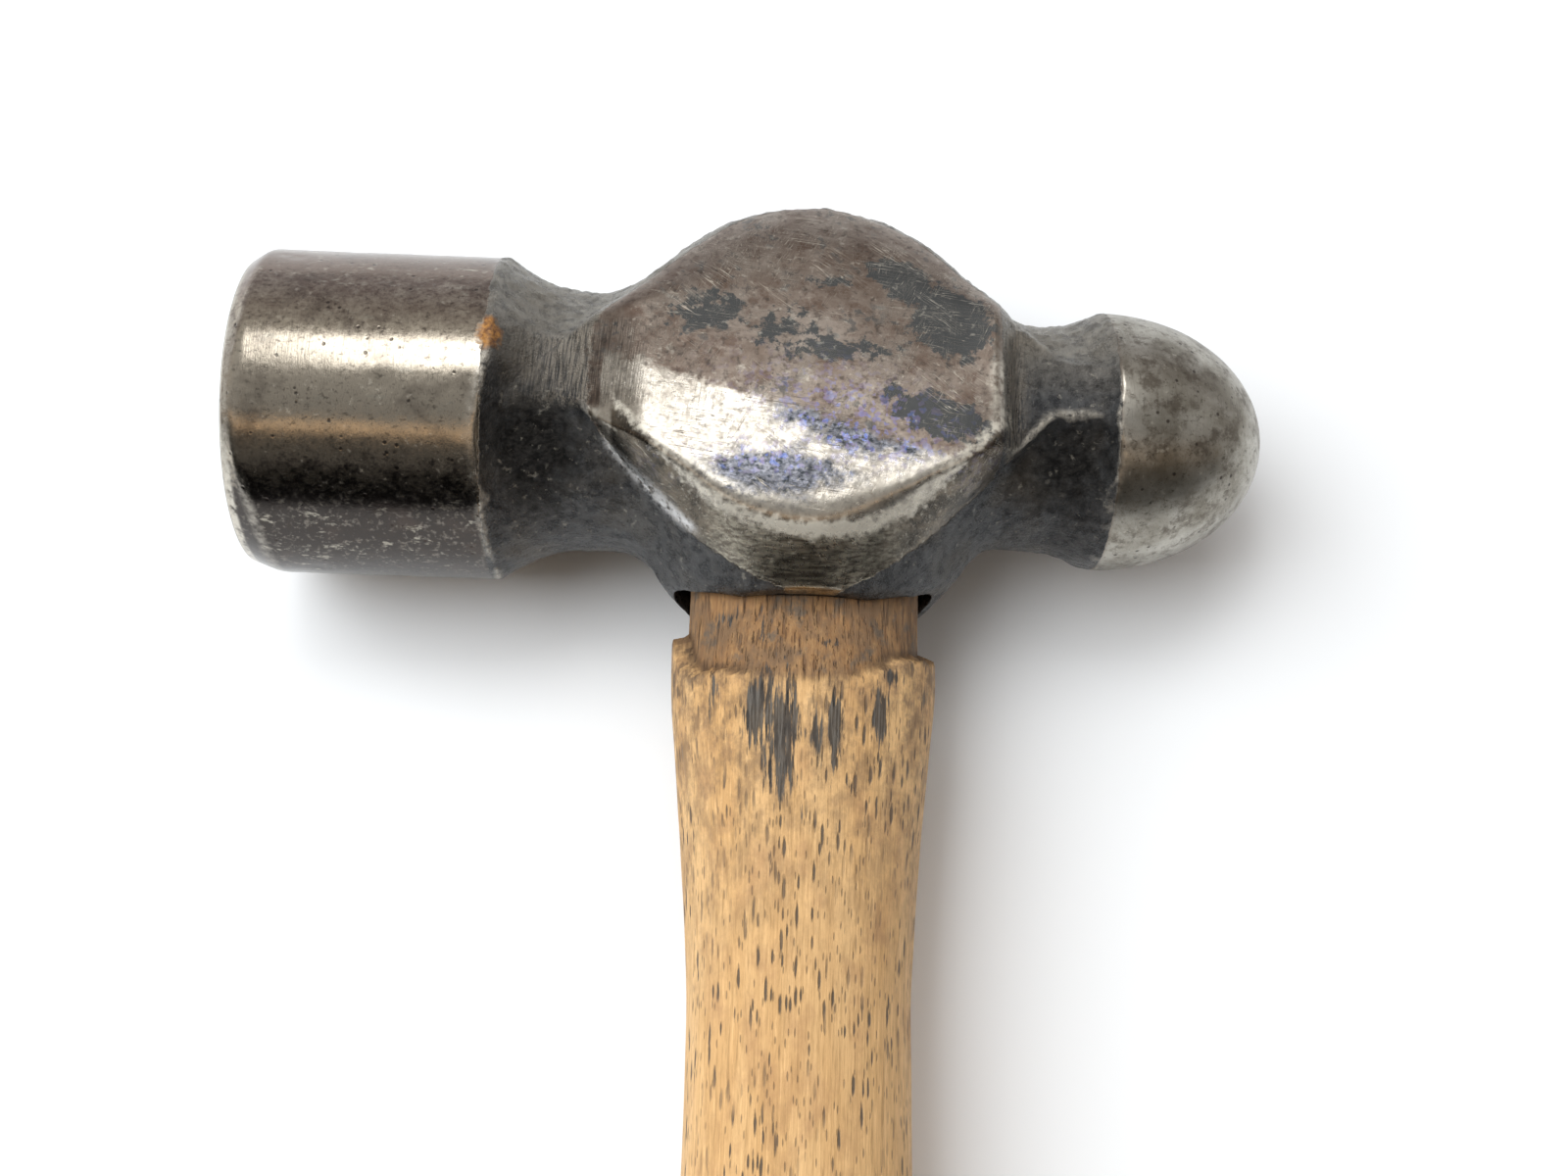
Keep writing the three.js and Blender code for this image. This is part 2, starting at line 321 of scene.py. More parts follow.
def body_excess(x, y, z):
    """How far a point is outside the thick disc round the eye: negative inside."""
    across, along = np.abs(x), np.abs(y)
    above = y > 0
    reach = reach_of(x, y)
    side = np.arctan2(across, along)
    turned = ease(0.0, math.radians(48), side)
    foot = mix(
        np.where(above, FOOT_ABOVE[0], FOOT_BELOW[0]),
        np.where(above, FOOT_ABOVE[1], FOOT_BELOW[1]),
        turned,
    )
    low_corner = ease(math.radians(8), math.radians(32), side)
    corner = np.where(x < 0, *FULL_CORNERS) * low_corner
    fuller = np.where(y < 0, corner, FULL_SIDES * turned)
    lip = np.where(y < 0, LIP_DROP * bump(x, 0, 8), 0.0)
    foot = foot + lip
    outer = CROWN_RADIUS + fuller + lip

    # Cheek: its rim is worn on the handle's side and wider towards the necks
    degrees = np.degrees(np.arctan2(x, along + 0.01))
    worn = np.where(y < 0, RIM_WEAR * bump(degrees, 26, 20), 0.0)
    inner = CHEEK_RADIUS - worn + 0.22 * np.clip(across - 12, 0, 12)
    fall = np.where(z > 0, cheek_fall(y), FAR_CHEEK_DOME * y**2)
    fall = fall * (1 - ease(15.0, 24.0, across))
    z = np.abs(z)
    cheek = z - (top_height(x) - fall)

    # Crown and bevel: the bevel swells in the middle and is hollow at the sides
    crown = reach - (outer - (outer - foot) * np.minimum(z / BEVEL_HEIGHT, 1.0) ** 5)
    rise, run = CHEEK - BEVEL_HEIGHT, foot - inner
    bevel = (rise * (reach - inner) + run * (z - CHEEK)) / np.hypot(rise, run)
    down = np.clip((CHEEK - z) / rise, 0.0, 1.0)
    bevel = bevel - mix(-0.9, 1.0, turned) * down * (1.0 - down)

    upper = ease(4, 14, y)
    soft = mix(mix(1.4, 0.6, turned), 3.6, upper)
    return smooth_max(smooth_max(bevel, crown, mix(0.5, 1.6, upper)), cheek, soft)


def body_radius(x, turn):
    """Distance from the head's axis to the disc's skin, found by halving."""
    low = np.zeros(np.broadcast(x, turn).shape)
    high = np.full(low.shape, 34.0)
    for _ in range(30):
        middle = (low + high) / 2
        outside = body_excess(x, middle * np.sin(turn), middle * np.cos(turn)) > 0
        high = np.where(outside, middle, high)
        low = np.where(outside, low, middle)
    return low


def off_cheek(turn):
    """Degrees round the axis from the nearest cheek's middle line."""
    return np.degrees(np.arcsin(np.clip(np.abs(np.sin(turn - CHEEK_TURN)), 0, 1)))


def neck_section(turn, radius, flat, ridge, hollow, spread):
    """A round neck with a flat on each cheek side, its edges proud of a hollow beside it.

    `spread` is how many degrees further out the edges stand.
    """
    off = off_cheek(turn)
    proud = ridge * bump(off, 9.5 + spread, 8.5 + spread / 3)
    sunk = hollow * bump(off, 32 + spread / 2, 14)
    level = flat / np.maximum(np.abs(np.cos(turn - CHEEK_TURN)), 0.2)
    return smooth_min(radius + proud - sunk, level, 0.18)


def spindle_radius(x, turn):
    """Poll, necks and ball, as the distance from the head's axis."""
    side = np.abs(np.sin(turn)) ** 1.5
    below = np.sin(turn) < 0
    degrees = np.degrees(np.arctan2(np.sin(turn), np.abs(np.cos(turn))))

    near_body = ease(-27.0, -20.5, x)
    neck = neck_section(
        turn,
        radius=POLL_NECK_RADIUS,
        flat=mix(POLL_NECK_FLAT, 15.6, near_body),
        ridge=mix(0.15, 2.4, near_body),
        hollow=np.where(below, 0.8, 0.4),
        spread=11.0 * near_body,
    )
    edge = POLL_BACK_X - 1.3 * bump(degrees, -34, 26) + 0.15 * np.sin(7 * turn + 0.6)
    front = mix(2.6, 5.0, ease(-10, 2, degrees))
    fall = np.clip((x - edge) / mix(front, 9.5, side), 0.0, 1.0)
    poll = POLL_RADIUS - (POLL_RADIUS - neck) * (1.0 - (1.0 - fall) ** 1.9)

    near_body = ease(25.0, 19.5, x) * below
    neck = neck_section(
        turn,
        radius=BALL_NECK_RADIUS,
        flat=BALL_NECK_FLAT,
        ridge=1.25 + 1.5 * near_body,
        hollow=np.where(below, 0.9, 0.35),
        spread=15.0 * near_body,
    )
    start = BALL_X + 0.5 * bump(degrees, -34, 14) - 0.4 * bump(degrees, -11, 8)
    rise = ease(start - mix(0.7, 6.5, side), start, x)
    along_ball = np.clip((x - BALL_X) / (TIP_X - BALL_X), 0.0, 1.0)
    dome = BALL_RADIUS * np.sqrt(np.maximum(1.0 - along_ball**2, 0.0))
    ball = mix(neck, dome, rise)

    from_face = x - FACE_X
    wide = CHAMFER_LENGTH + 1.2 * ease(30, 75, -degrees)
    depth = CHAMFER_DEPTH * (1.0 - from_face / wide)
    chamfer = smooth_min(POLL_RADIUS - depth, POLL_RADIUS, 0.3)
    necks = np.where(x < 0, poll, ball)
    return np.where(from_face < 2 * wide, np.minimum(necks, chamfer), necks)


def head_radius(x, turn):
    side = ease(0.45, 0.95, np.abs(np.sin(turn)))
    spindle = spindle_radius(x, turn)
    joined = smooth_max(body_radius(x, turn), spindle, mix(0.4, 4.5, side))
    return np.where(np.abs(x) < 30, joined, spindle)


def head_stations():
    """Places along the head, closer together where the outline turns."""

    def pace(x):
        each = np.full(x.shape, 1 / 0.42)
        each += 3.0 * bump(x, FACE_X + 0.9, 1.3)
        each += 2.2 * bump(x, POLL_BACK_X + 0.4, 1.9)
        each += 1.0 * bump(x, CHEEK_END_X + 1, 1.6)
        each += 2.3 * bump(x, BALL_X - 0.2, 1.1)
        return each

    straight = even_stations(FACE_X, BALL_X + 1.5, pace)
    nose_start = math.asin(1.5 / (TIP_X - BALL_X))
    nose = np.linspace(nose_start, math.pi / 2, 54)[1:-1]
    return np.concatenate([straight, BALL_X + (TIP_X - BALL_X) * np.sin(nose)])


def forged_share(points):
    """1 on rough forged skin, 0 on the ground poll, ball, cheeks, bevels and flats.

    Also gives the degrees round the axis from the nearest cheek.
    """
    x, y, z = points.T
    off = np.degrees(np.arctan2(np.abs(y - 0.3), np.abs(z)))
    between = ease(POLL_BACK_X - 1.2, POLL_BACK_X - 0.2, x)
    between = between * (1 - ease(BALL_X - 0.5, BALL_X + 0.1, x))
    lip = mix(22.0, 20.3, ease(0.0, 0.84, np.arctan2(np.abs(x), np.abs(y))))
    down_to_eye = bump(x, 1.0, 5.0) * (y < 0)
    lip = lip + 0.9 * down_to_eye
    foot = 9.6 - 0.5 * down_to_eye
    worked = 1 - ease(lip - 0.4, lip + 0.5, reach_of(x, y))
    worked = worked * ease(foot, foot + 1.0, np.abs(z))
    worked = worked * ease(-25.5, -21.5, x) * (1 - ease(19.2, 20.4, x))
    return between * (1 - worked), off


def head_relief(points):
    """Height in mm that forging, grinding and use add to the smooth shape."""
    x, y, z = points.T
    forged, off = forged_share(points)
    flats = (1 - ease(10.5, 13.5, off)) * ease(12.0, 13.0, np.abs(z))
    forged = forged * (1 - 0.85 * flats)
    pits = waves(points, 1.5, 11) + 0.6 * waves(points, 0.9, 12)
    wrinkles = waves(points, 1.6, 13, stretch=(3.5, 1.0, 1.0))
    wrinkled = ease(-9, -15, y)
    rough = mix(0.085 * pits, 0.06 * wrinkles + 0.02 * pits, wrinkled)
    lumps = 0.16 * waves(points, 7.0, 14)
    ground = 0.035 * waves(points, 9.0, 15) + 0.006 * waves(points, 1.8, 16)
    on_body = bump(x, 0, BODY_REACH)
    return mix(ground * mix(0.7, 1.6, on_body), rough + lumps, forged)


def dents(points):
    """Small nicks from use, each a shallow round dip at a seeded place."""
    rng = np.random.default_rng(DENT_SEED)
    total = np.zeros(len(points))
    for _ in range(DENT_COUNT):
        place = points[rng.integers(len(points))]
        width = rng.uniform(0.35, 1.1)
        depth = width * rng.uniform(0.04, 0.11)
        near = np.abs(points - place).max(axis=1) < 3 * width
        away = np.linalg.norm(points[near] - place, axis=1)
        total[near] -= depth * np.exp(-((away / width) ** 2))
    return total


def eye_cutter():
    """The punched eye: an oval hole flared towards both mouths, a little uneven."""
    y = np.linspace(-CROWN_RADIUS - 2, CROWN_RADIUS + 2, 60)
    turn = np.linspace(0, 2 * math.pi, 120, endpoint=False)
    along, angle = np.meshgrid(y, turn, indexing="ij")
    flare = EYE_FLARE * np.clip(along / CROWN_RADIUS, 0, 1.1) ** 2
    flare += 0.15 * np.clip(-(along + 17) / 6, 0, 1.4) ** 2
    grid = np.stack([
        (EYE_HALF_X + flare) * np.sin(angle),
        along,
        (EYE_HALF_Z + flare) * np.cos(angle),
    ], axis=-1)
    uneven = 1.0 + 0.006 * waves(grid, 5.0, 21)
    grid[..., 0] *= uneven
    grid[..., 2] *= uneven
    return capped_tube("eye_cutter", grid)


def round_eye_lips(points):
    """Draws the skin in round both mouths of the eye, so their edges aren't sharp."""
    x, y, z = points.T
    oval = np.hypot(x / (EYE_HALF_X + 0.7), z / (EYE_HALF_Z + 0.7))
    away = np.clip((oval - 1.0) * (EYE_HALF_Z + 2), 0.0, None)
    lip = np.where(np.abs(y) > 14, np.clip(1 - away / 1.1, 0, 1) ** 2, 0.0)
    drawn = points.copy()
    drawn[:, 1] -= np.where(y > 0, 0.55, -0.2) * lip
    return drawn


def make_head():
    xs = head_stations()
    turn = np.linspace(0, 2 * math.pi, AROUND_HEAD, endpoint=False)
    x, t = np.meshgrid(xs, turn, indexing="ij")
    r = head_radius(x, t)
    grid = np.stack([x, r * np.sin(t), r * np.cos(t)], axis=-1)
    flat = grid.reshape(-1, 3)
    along = flat[:, 0]
    fade = ease(FACE_X, FACE_X + 0.6, along) * (1 - ease(TIP_X - 1, TIP_X, along))
    relief = (head_relief(flat) + dents(flat)) * fade
    resting = flat[:, 2] < 0.6 - CHEEK
    relief = np.where(resting, np.minimum(relief, 0.0), relief)
    flat = round_eye_lips(flat + away_from_axis(flat, (0, 1, 1)) * relief[:, None])
    low, high = np.array(HEAD_BOX) + np.array([[0, 0, -AXIS_HEIGHT]])
    flat = np.clip(flat, low + CLEAR_OF_BOX, high - CLEAR_OF_BOX)
    face_rings = (0.93, 0.82, 0.66, 0.45, 0.2)
    piece = capped_tube("forged_head", flat.reshape(grid.shape), (face_rings, ()))
    cut(piece, eye_cutter())
    piece.data.shade_smooth()
    mark_head(piece)
    return piece


def blobs(x, y, *marks):
    """Soft oval marks, the strongest at each point.

    A mark is its strength, its middle, its two half sizes and its lean.
    """
    total = np.zeros(x.shape)
    for strength, middle_x, middle_y, half_u, half_v, lean in marks:
        c, s = math.cos(lean), math.sin(lean)
        u = (x - middle_x) * c + (y - middle_y) * s
        v = (y - middle_y) * c - (x - middle_x) * s
        total = np.maximum(total, strength * np.exp(-((u / half_u) ** 2) - (v / half_v) ** 2))
    return total


def mark_head(piece):
    """Masks that the steel material reads: where the skin is forged, worn, oxidised or rusty, and
    where highlights and shade are painted.
    """
    points = points_of(piece)
    x, y, z = points.T
    across, along, off_axis = np.abs(points.T)
    below = y < 0
    on_body = across < BODY_REACH
    reach = reach_of(x, y)
    forged, off = forged_share(points)
    write_mask(piece, "forged", forged)

    fine = np.clip(standing_proud(piece, 6) / 0.10, 0, 1) * (1 - forged)
    wide = np.clip(standing_proud(piece, 30) / 0.45, 0, 1)
    on_bevel = ease(CHEEK_RADIUS + 0.3, CHEEK_RADIUS + 1.0, reach) * (along + across > 20)
    rubbed = mix(0.35, 1.0, ease(4, 0, y)) * (1 - 0.8 * on_bevel * on_body)
    write_mask(piece, "edge", np.maximum(fine, wide) * rubbed)

    # Oxide and heat tint left on the cheeks
    top = ease(10, 14, z)
    oxide = blobs(
        x, y,
        (1, 14.5, 6.0, 5.5, 5.0, -0.6),
        (1, 9.5, 11.0, 5.0, 2.8, -0.6),
        (0.95, 13.0, -5.0, 6.5, 3.0, -0.4),
        (0.75, -11, 6.5, 5.5, 3.5, 0.2),
        (0.72, 3, 2.5, 7.0, 2.0, 0.0),
        (0.62, -3, 4.5, 5.0, 4.0, 0.5),
        (0.6, 2, 11.0, 5.0, 1.6, -0.1),
    )
    under = blobs(
        x, y,
        (1, -9, -4, 7, 5, 0.4),
        (0.8, 8, 7, 6, 4, -0.5),
    )
    write_mask(piece, "oxide", np.where(z > 0, oxide * top, under * ease(12, 15, -z)))
    tint = blobs(
        x, y,
        (1, 4.5, -6.0, 10, 4.4, -0.3),
        (1, -4.0, -12.2, 9, 3.6, 0),
    )
    write_mask(piece, "tint", tint * top)
    write_mask(piece, "rust", blobs(x, y, (1, -33.9, 2.3, 1.5, 2.2, 0)) * (z > 0))

    # The part of each cheek towards the handle is polished by use
    line = -3.2 - 0.30 * (x + 8)
    polish = ease(line + 2.5, line - 2.0, y) * (across < 22) * ease(8, 10, off_axis)
    write_mask(piece, "polish", polish)

    # Grinding marks on the flats of the poll's neck and on the step to the ball's
    flats = (1 - ease(14.0, 19.0, off)) * ease(12.0, 13.0, off_axis)
    step = bump(x, CHEEK_END_X + 1.4, 1.5) * ease(11.5, 12.5, off_axis) * (along < 8)
    write_mask(piece, "grind", np.maximum(flats * bump(x, -23.5, 6.5), step))

    bevel = ease(CHEEK_RADIUS - 0.2, CHEEK_RADIUS + 1.0, reach)
    bevel = bevel * ease(9.0, 10.5, off_axis)
    write_mask(piece, "bevel", bevel * on_body * below)
    # Painted highlight along the lower cheek's rounded edge, strongest in the middle
    ridge = bump(reach, CHEEK_RADIUS + 0.15, 0.75) * below * ease(9.0, 10.5, off_axis)
    write_mask(piece, "ridge", ridge * (0.45 + 0.55 * bump(x, 1.0, 8.0)) * on_body)
    # Painted highlight: a fine bright line along the foot of the bevel
    foot_line = bump(reach, 20.25, 0.28) * ease(8.6, 9.8, z)
    foot_line = foot_line * (1 - ease(12.5, 13.5, z))
    write_mask(piece, "foot_line", foot_line * ease(-11, -13, x) * (x > -22) * below)

    # Painted shade: black over the hollows below the necks' ridges, on the handle's side
    pocket_shade = blobs(
        x, y,
        (1, -29.3, -7.5, 5.0, 5.4, 0),
        (0.8, 28, -7, 6.0, 4.5, 0),
    )
    write_mask(piece, "pocket_shade", pocket_shade)
    # Painted shade inside the eye
    oval = np.hypot(x / (EYE_HALF_X + 0.5), z / (EYE_HALF_Z + 0.4))
    write_mask(piece, "inside", (oval < 1) * (np.hypot(x, y) < CROWN_RADIUS - 0.4))


# ---- Handle and wedges ------------------------------------------------------------------

WEDGES = ("wooden_kerf_wedge", "steel_wedge_face_side", "steel_wedge_ball_side")


def shank_halves():
    """Heights below the shoulder, with half the shank's length and width there, from the frame."""
    flat = frame_points("handle")
    levels = np.unique(np.round(flat[:, 1], 2))
    low = HEAD_BOX[0][1] - 3.0
    rows = []
    for level in levels[levels < low]:
        ring = flat[np.abs(flat[:, 1] - level) < 0.02]
        rows.append((level, np.abs(ring[:, 0]).max(), np.abs(ring[:, 2] - AXIS_HEIGHT).max()))
    return np.array(rows)


def smooth_table(rows, y):
    """Values of the table's last two columns at y, eased by averaging over a few millimetres."""
    spread = np.linspace(-5, 5, 21)
    weight = np.exp(-((spread / 2.6) ** 2))
    weight /= weight.sum()
    result = []
    for column in (1, 2):
        moved = sum(
            w * np.interp(np.minimum(y + d, SHANK_TOP_Y), rows[:, 0], rows[:, column])
            for w, d in zip(weight, spread)
        )
        near_butt = ease(BUTT_Y + 12, BUTT_Y + 7, y)
        result.append(mix(moved, np.interp(y, rows[:, 0], rows[:, column]), near_butt))
    return result


def shoulder_height(angle):
    """Where the saw stopped when the tenon was cut, by the angle round the handle from +Z."""
    degrees = np.degrees(np.arctan2(np.sin(angle), np.abs(np.cos(angle))))
    places, heights = zip(
        (-90, -25.4), (-78, -26.4), (-66, -29.2), (-58, -30.2), (-36, -30.4), (-20, -31.2),
        (6, -31.5), (27, -30.9), (38, -29.5), (52, -27.9), (70, -27.5), (82, -26.8), (90, -26.3),
    )
    return np.interp(degrees, places, heights)


def make_handle():
    rows = shank_halves()

    def pace(y):
        return mix(0.75, mix(1.7, 2.6, ease(-36, -32, y)), ease(-95, -88, y))

    ys = even_stations(BUTT_Y, HANDLE_BOX[1][1], pace)
    turn = np.linspace(0, 2 * math.pi, AROUND_HANDLE, endpoint=False)
    y, angle = np.meshgrid(ys, turn, indexing="ij")
    shank_x, shank_z = smooth_table(rows, y)

    # Tenon: thicker where it leaves the head, and spread by the wedges in the eye
    near_end = np.clip((NECK_Y - y) / 7.0, 0, 1)
    spread = ease(-12, 10, y)
    room = EYE_FLARE * np.clip(y / CROWN_RADIUS, 0, 1) ** 2 - TENON_GAP
    tenon_x = mix(TENON_HALF_X, EYE_HALF_X + room, spread)
    tenon_z = mix(TENON_HALF_Z - 0.1 + 1.5 * near_end, EYE_HALF_Z + room, spread)

    # Shoulder: torn along the saw's line
    rim = np.stack([16 * np.sin(angle), 0 * y, 16 * np.cos(angle)], axis=-1)
    ragged = 0.2 * waves(rim, 2.2, 31) + 0.16 * waves(rim, 0.9, 32)
    splinter = 0.9 * bump(np.degrees(np.arctan2(np.sin(angle), np.cos(angle))), -82, 6)
    ledge = shoulder_height(angle) + ragged + splinter
    shown = ease(ledge + 0.25, ledge - 0.3, y)
    half_x = mix(tenon_x, shank_x, shown)
    half_z = mix(tenon_z, shank_z, shown)
    grid = np.stack([half_x * np.sin(angle), y, half_z * np.cos(angle)], axis=-1)

    # Raised grain and tool marks, and the handle's slight lean towards the ball
    flat = grid.reshape(-1, 3)
    grooves = waves(flat, 0.9, 33, stretch=(1, 16, 1))
    hand_cut = waves(flat, 7.0, 34, stretch=(1, 5, 1))
    weathered = ease(-40, -24, flat[:, 1])
    fade = ease(BUTT_Y, BUTT_Y + 3, flat[:, 1])
    relief = (mix(0.03, 0.07, weathered) * grooves + 0.12 * hand_cut) * fade
    flat = flat + away_from_axis(flat, (1, 0, 1)) * relief[:, None]
    lean = 0.25 * ease(0, -26, y) + 0.009 * np.clip(-26 - y, 0, None)
    flat[:, 0] += lean.ravel() * fade

    tops = tuple(np.arange(0.95, 0.04, -0.07))
    piece = capped_tube("hickory_handle", flat.reshape(grid.shape), ((0.7, 0.4), tops))
    trim_to_crown(piece, depth=0.9, rough=0.12, wavelength=1.1, seed=35)
    cut_slots(piece, WEDGES)
    piece.data.shade_smooth()
    mark_handle(piece)
    return piece


def trim_to_crown(piece, depth, rough, wavelength, seed):
    """Brings a piece's top down to `depth` below the head's crown, and roughens it."""
    points = points_of(piece)
    x, y = points[:, 0], points[:, 1]
    crown = np.sqrt(np.maximum((CROWN_RADIUS - depth) ** 2 - x**2, 0))
    level = crown + rough * waves(points * np.array([1, 0, 1]), wavelength, seed)
    points[:, 1] = np.where(y > TRIM_ABOVE_Y, np.minimum(y, level), y)
    set_points(piece, points)


def cut_slots(piece, nodes):
    """Cuts room for the given wedges of the frame into the piece."""
    for node in nodes:
        cut(piece, capped_tube("slot", wedge_grid(node, WEDGE_ROOM, SLOT_RISE)))


def mark_handle(piece):
    """Masks that the wood material reads: dirt, stains, and painted shade in the hollows and along
    the shoulder's cut line.
    """
    x, y, z = points_of(piece).T
    ledge = shoulder_height(np.arctan2(x, z))
    write_mask(piece, "tenon", ease(ledge - 0.5, ledge + 0.5, y))
    # Masks for painted shade: the shoulder's cut line and the hollows
    write_mask(piece, "cut_line", bump(y, ledge, 0.5))
    hollow = np.clip(-standing_proud(piece, 8) / 0.12, 0, 1)
    write_mask(piece, "hollow", hollow * (y < 10))
    crown = np.sqrt(np.maximum(CROWN_RADIUS**2 - x**2, 0))
    write_mask(piece, "end_grain", np.maximum(y > crown - 2.0, y < BUTT_Y + 1.2))
    stain = blobs(
        x, y,
        (1, -4.6, -35.0, 1.5, 4.0, 0),
        (1, -2.2, -37.5, 1.8, 7.0, 0),
        (0.9, 1.2, -37.5, 0.8, 2.6, 0),
        (1, 3.2, -36.5, 0.8, 4.6, 0),
        (1, 7.9, -34.5, 1.0, 3.6, 0),
        (0.75, -9.3, -32.5, 0.7, 3.0, 0),
        (0.7, 9.0, -30.5, 1.6, 0.9, 0),
        (0.6, -8.5, -24.5, 1.8, 1.2, 0),
        (0.6, -4.3, -26.0, 1.0, 2.0, 0),
        (0.5, 2.5, -27.5, 1.4, 0.6, 0),
        (0.45, 6.7, -28.8, 0.7, 0.8, 0),
    )
    back = blobs(x, y, (1, -3, -36, 2.4, 6, 0), (0.8, 6, -38, 1.3, 5, 0))
    write_mask(piece, "stain", np.where(z > 0, stain, back))


def wedge_grid(node, spare, rise):
    """Rings of a wedge the size of the frame's, `spare` mm fatter all round and `rise` taller."""
    flat = frame_points(node)
    flat[:, 2] -= AXIS_HEIGHT
    low, high = flat.min(axis=0), flat.max(axis=0)
    foot = flat[flat[:, 1] < low[1] + 0.5]
    foot_half = (foot.max(axis=0) - foot.min(axis=0)) / 2 + spare
    half = (high - low) / 2 + spare
    centre = (high + low) / 2
    turn = np.linspace(0, 2 * math.pi, AROUND_WEDGE, endpoint=False) + math.pi / AROUND_WEDGE
    square_x = np.sign(np.cos(turn)) * np.abs(np.cos(turn)) ** WEDGE_CORNER
    square_z = np.sign(np.sin(turn)) * np.abs(np.sin(turn)) ** WEDGE_CORNER
    rings = []
    for level in np.linspace(0, 1, 14):
        x = centre[0] + mix(foot_half[0], half[0], level) * square_x
        z = centre[2] + mix(foot_half[2], half[2], level) * square_z
        y = mix(low[1] - spare, high[1] - 0.3 + rise, level)
        rings.append(np.stack([x, np.full(AROUND_WEDGE, y), z], axis=-1))
    return np.array(rings)


def wedge_piece(name, node, burr, slots=()):
    """A wedge with its top hammered over to the curve of the crown."""
    tops = (0.97, 0.9, 0.8, 0.65, 0.5, 0.35, 0.2)
    piece = capped_tube(name, wedge_grid(node, 0.0, 0.0), ((0.6,), tops))
    trim_to_crown(piece, depth=0.75, rough=burr, wavelength=1.3, seed=41)
    cut_slots(piece, slots)
    piece.data.shade_smooth()
    return piece


# ---- Materials --------------------------------------------------------------------------

# Painted shade for the wood's hollows and the shoulder's cut line
CREASE_SHADE = (0.10, 0.06, 0.035)


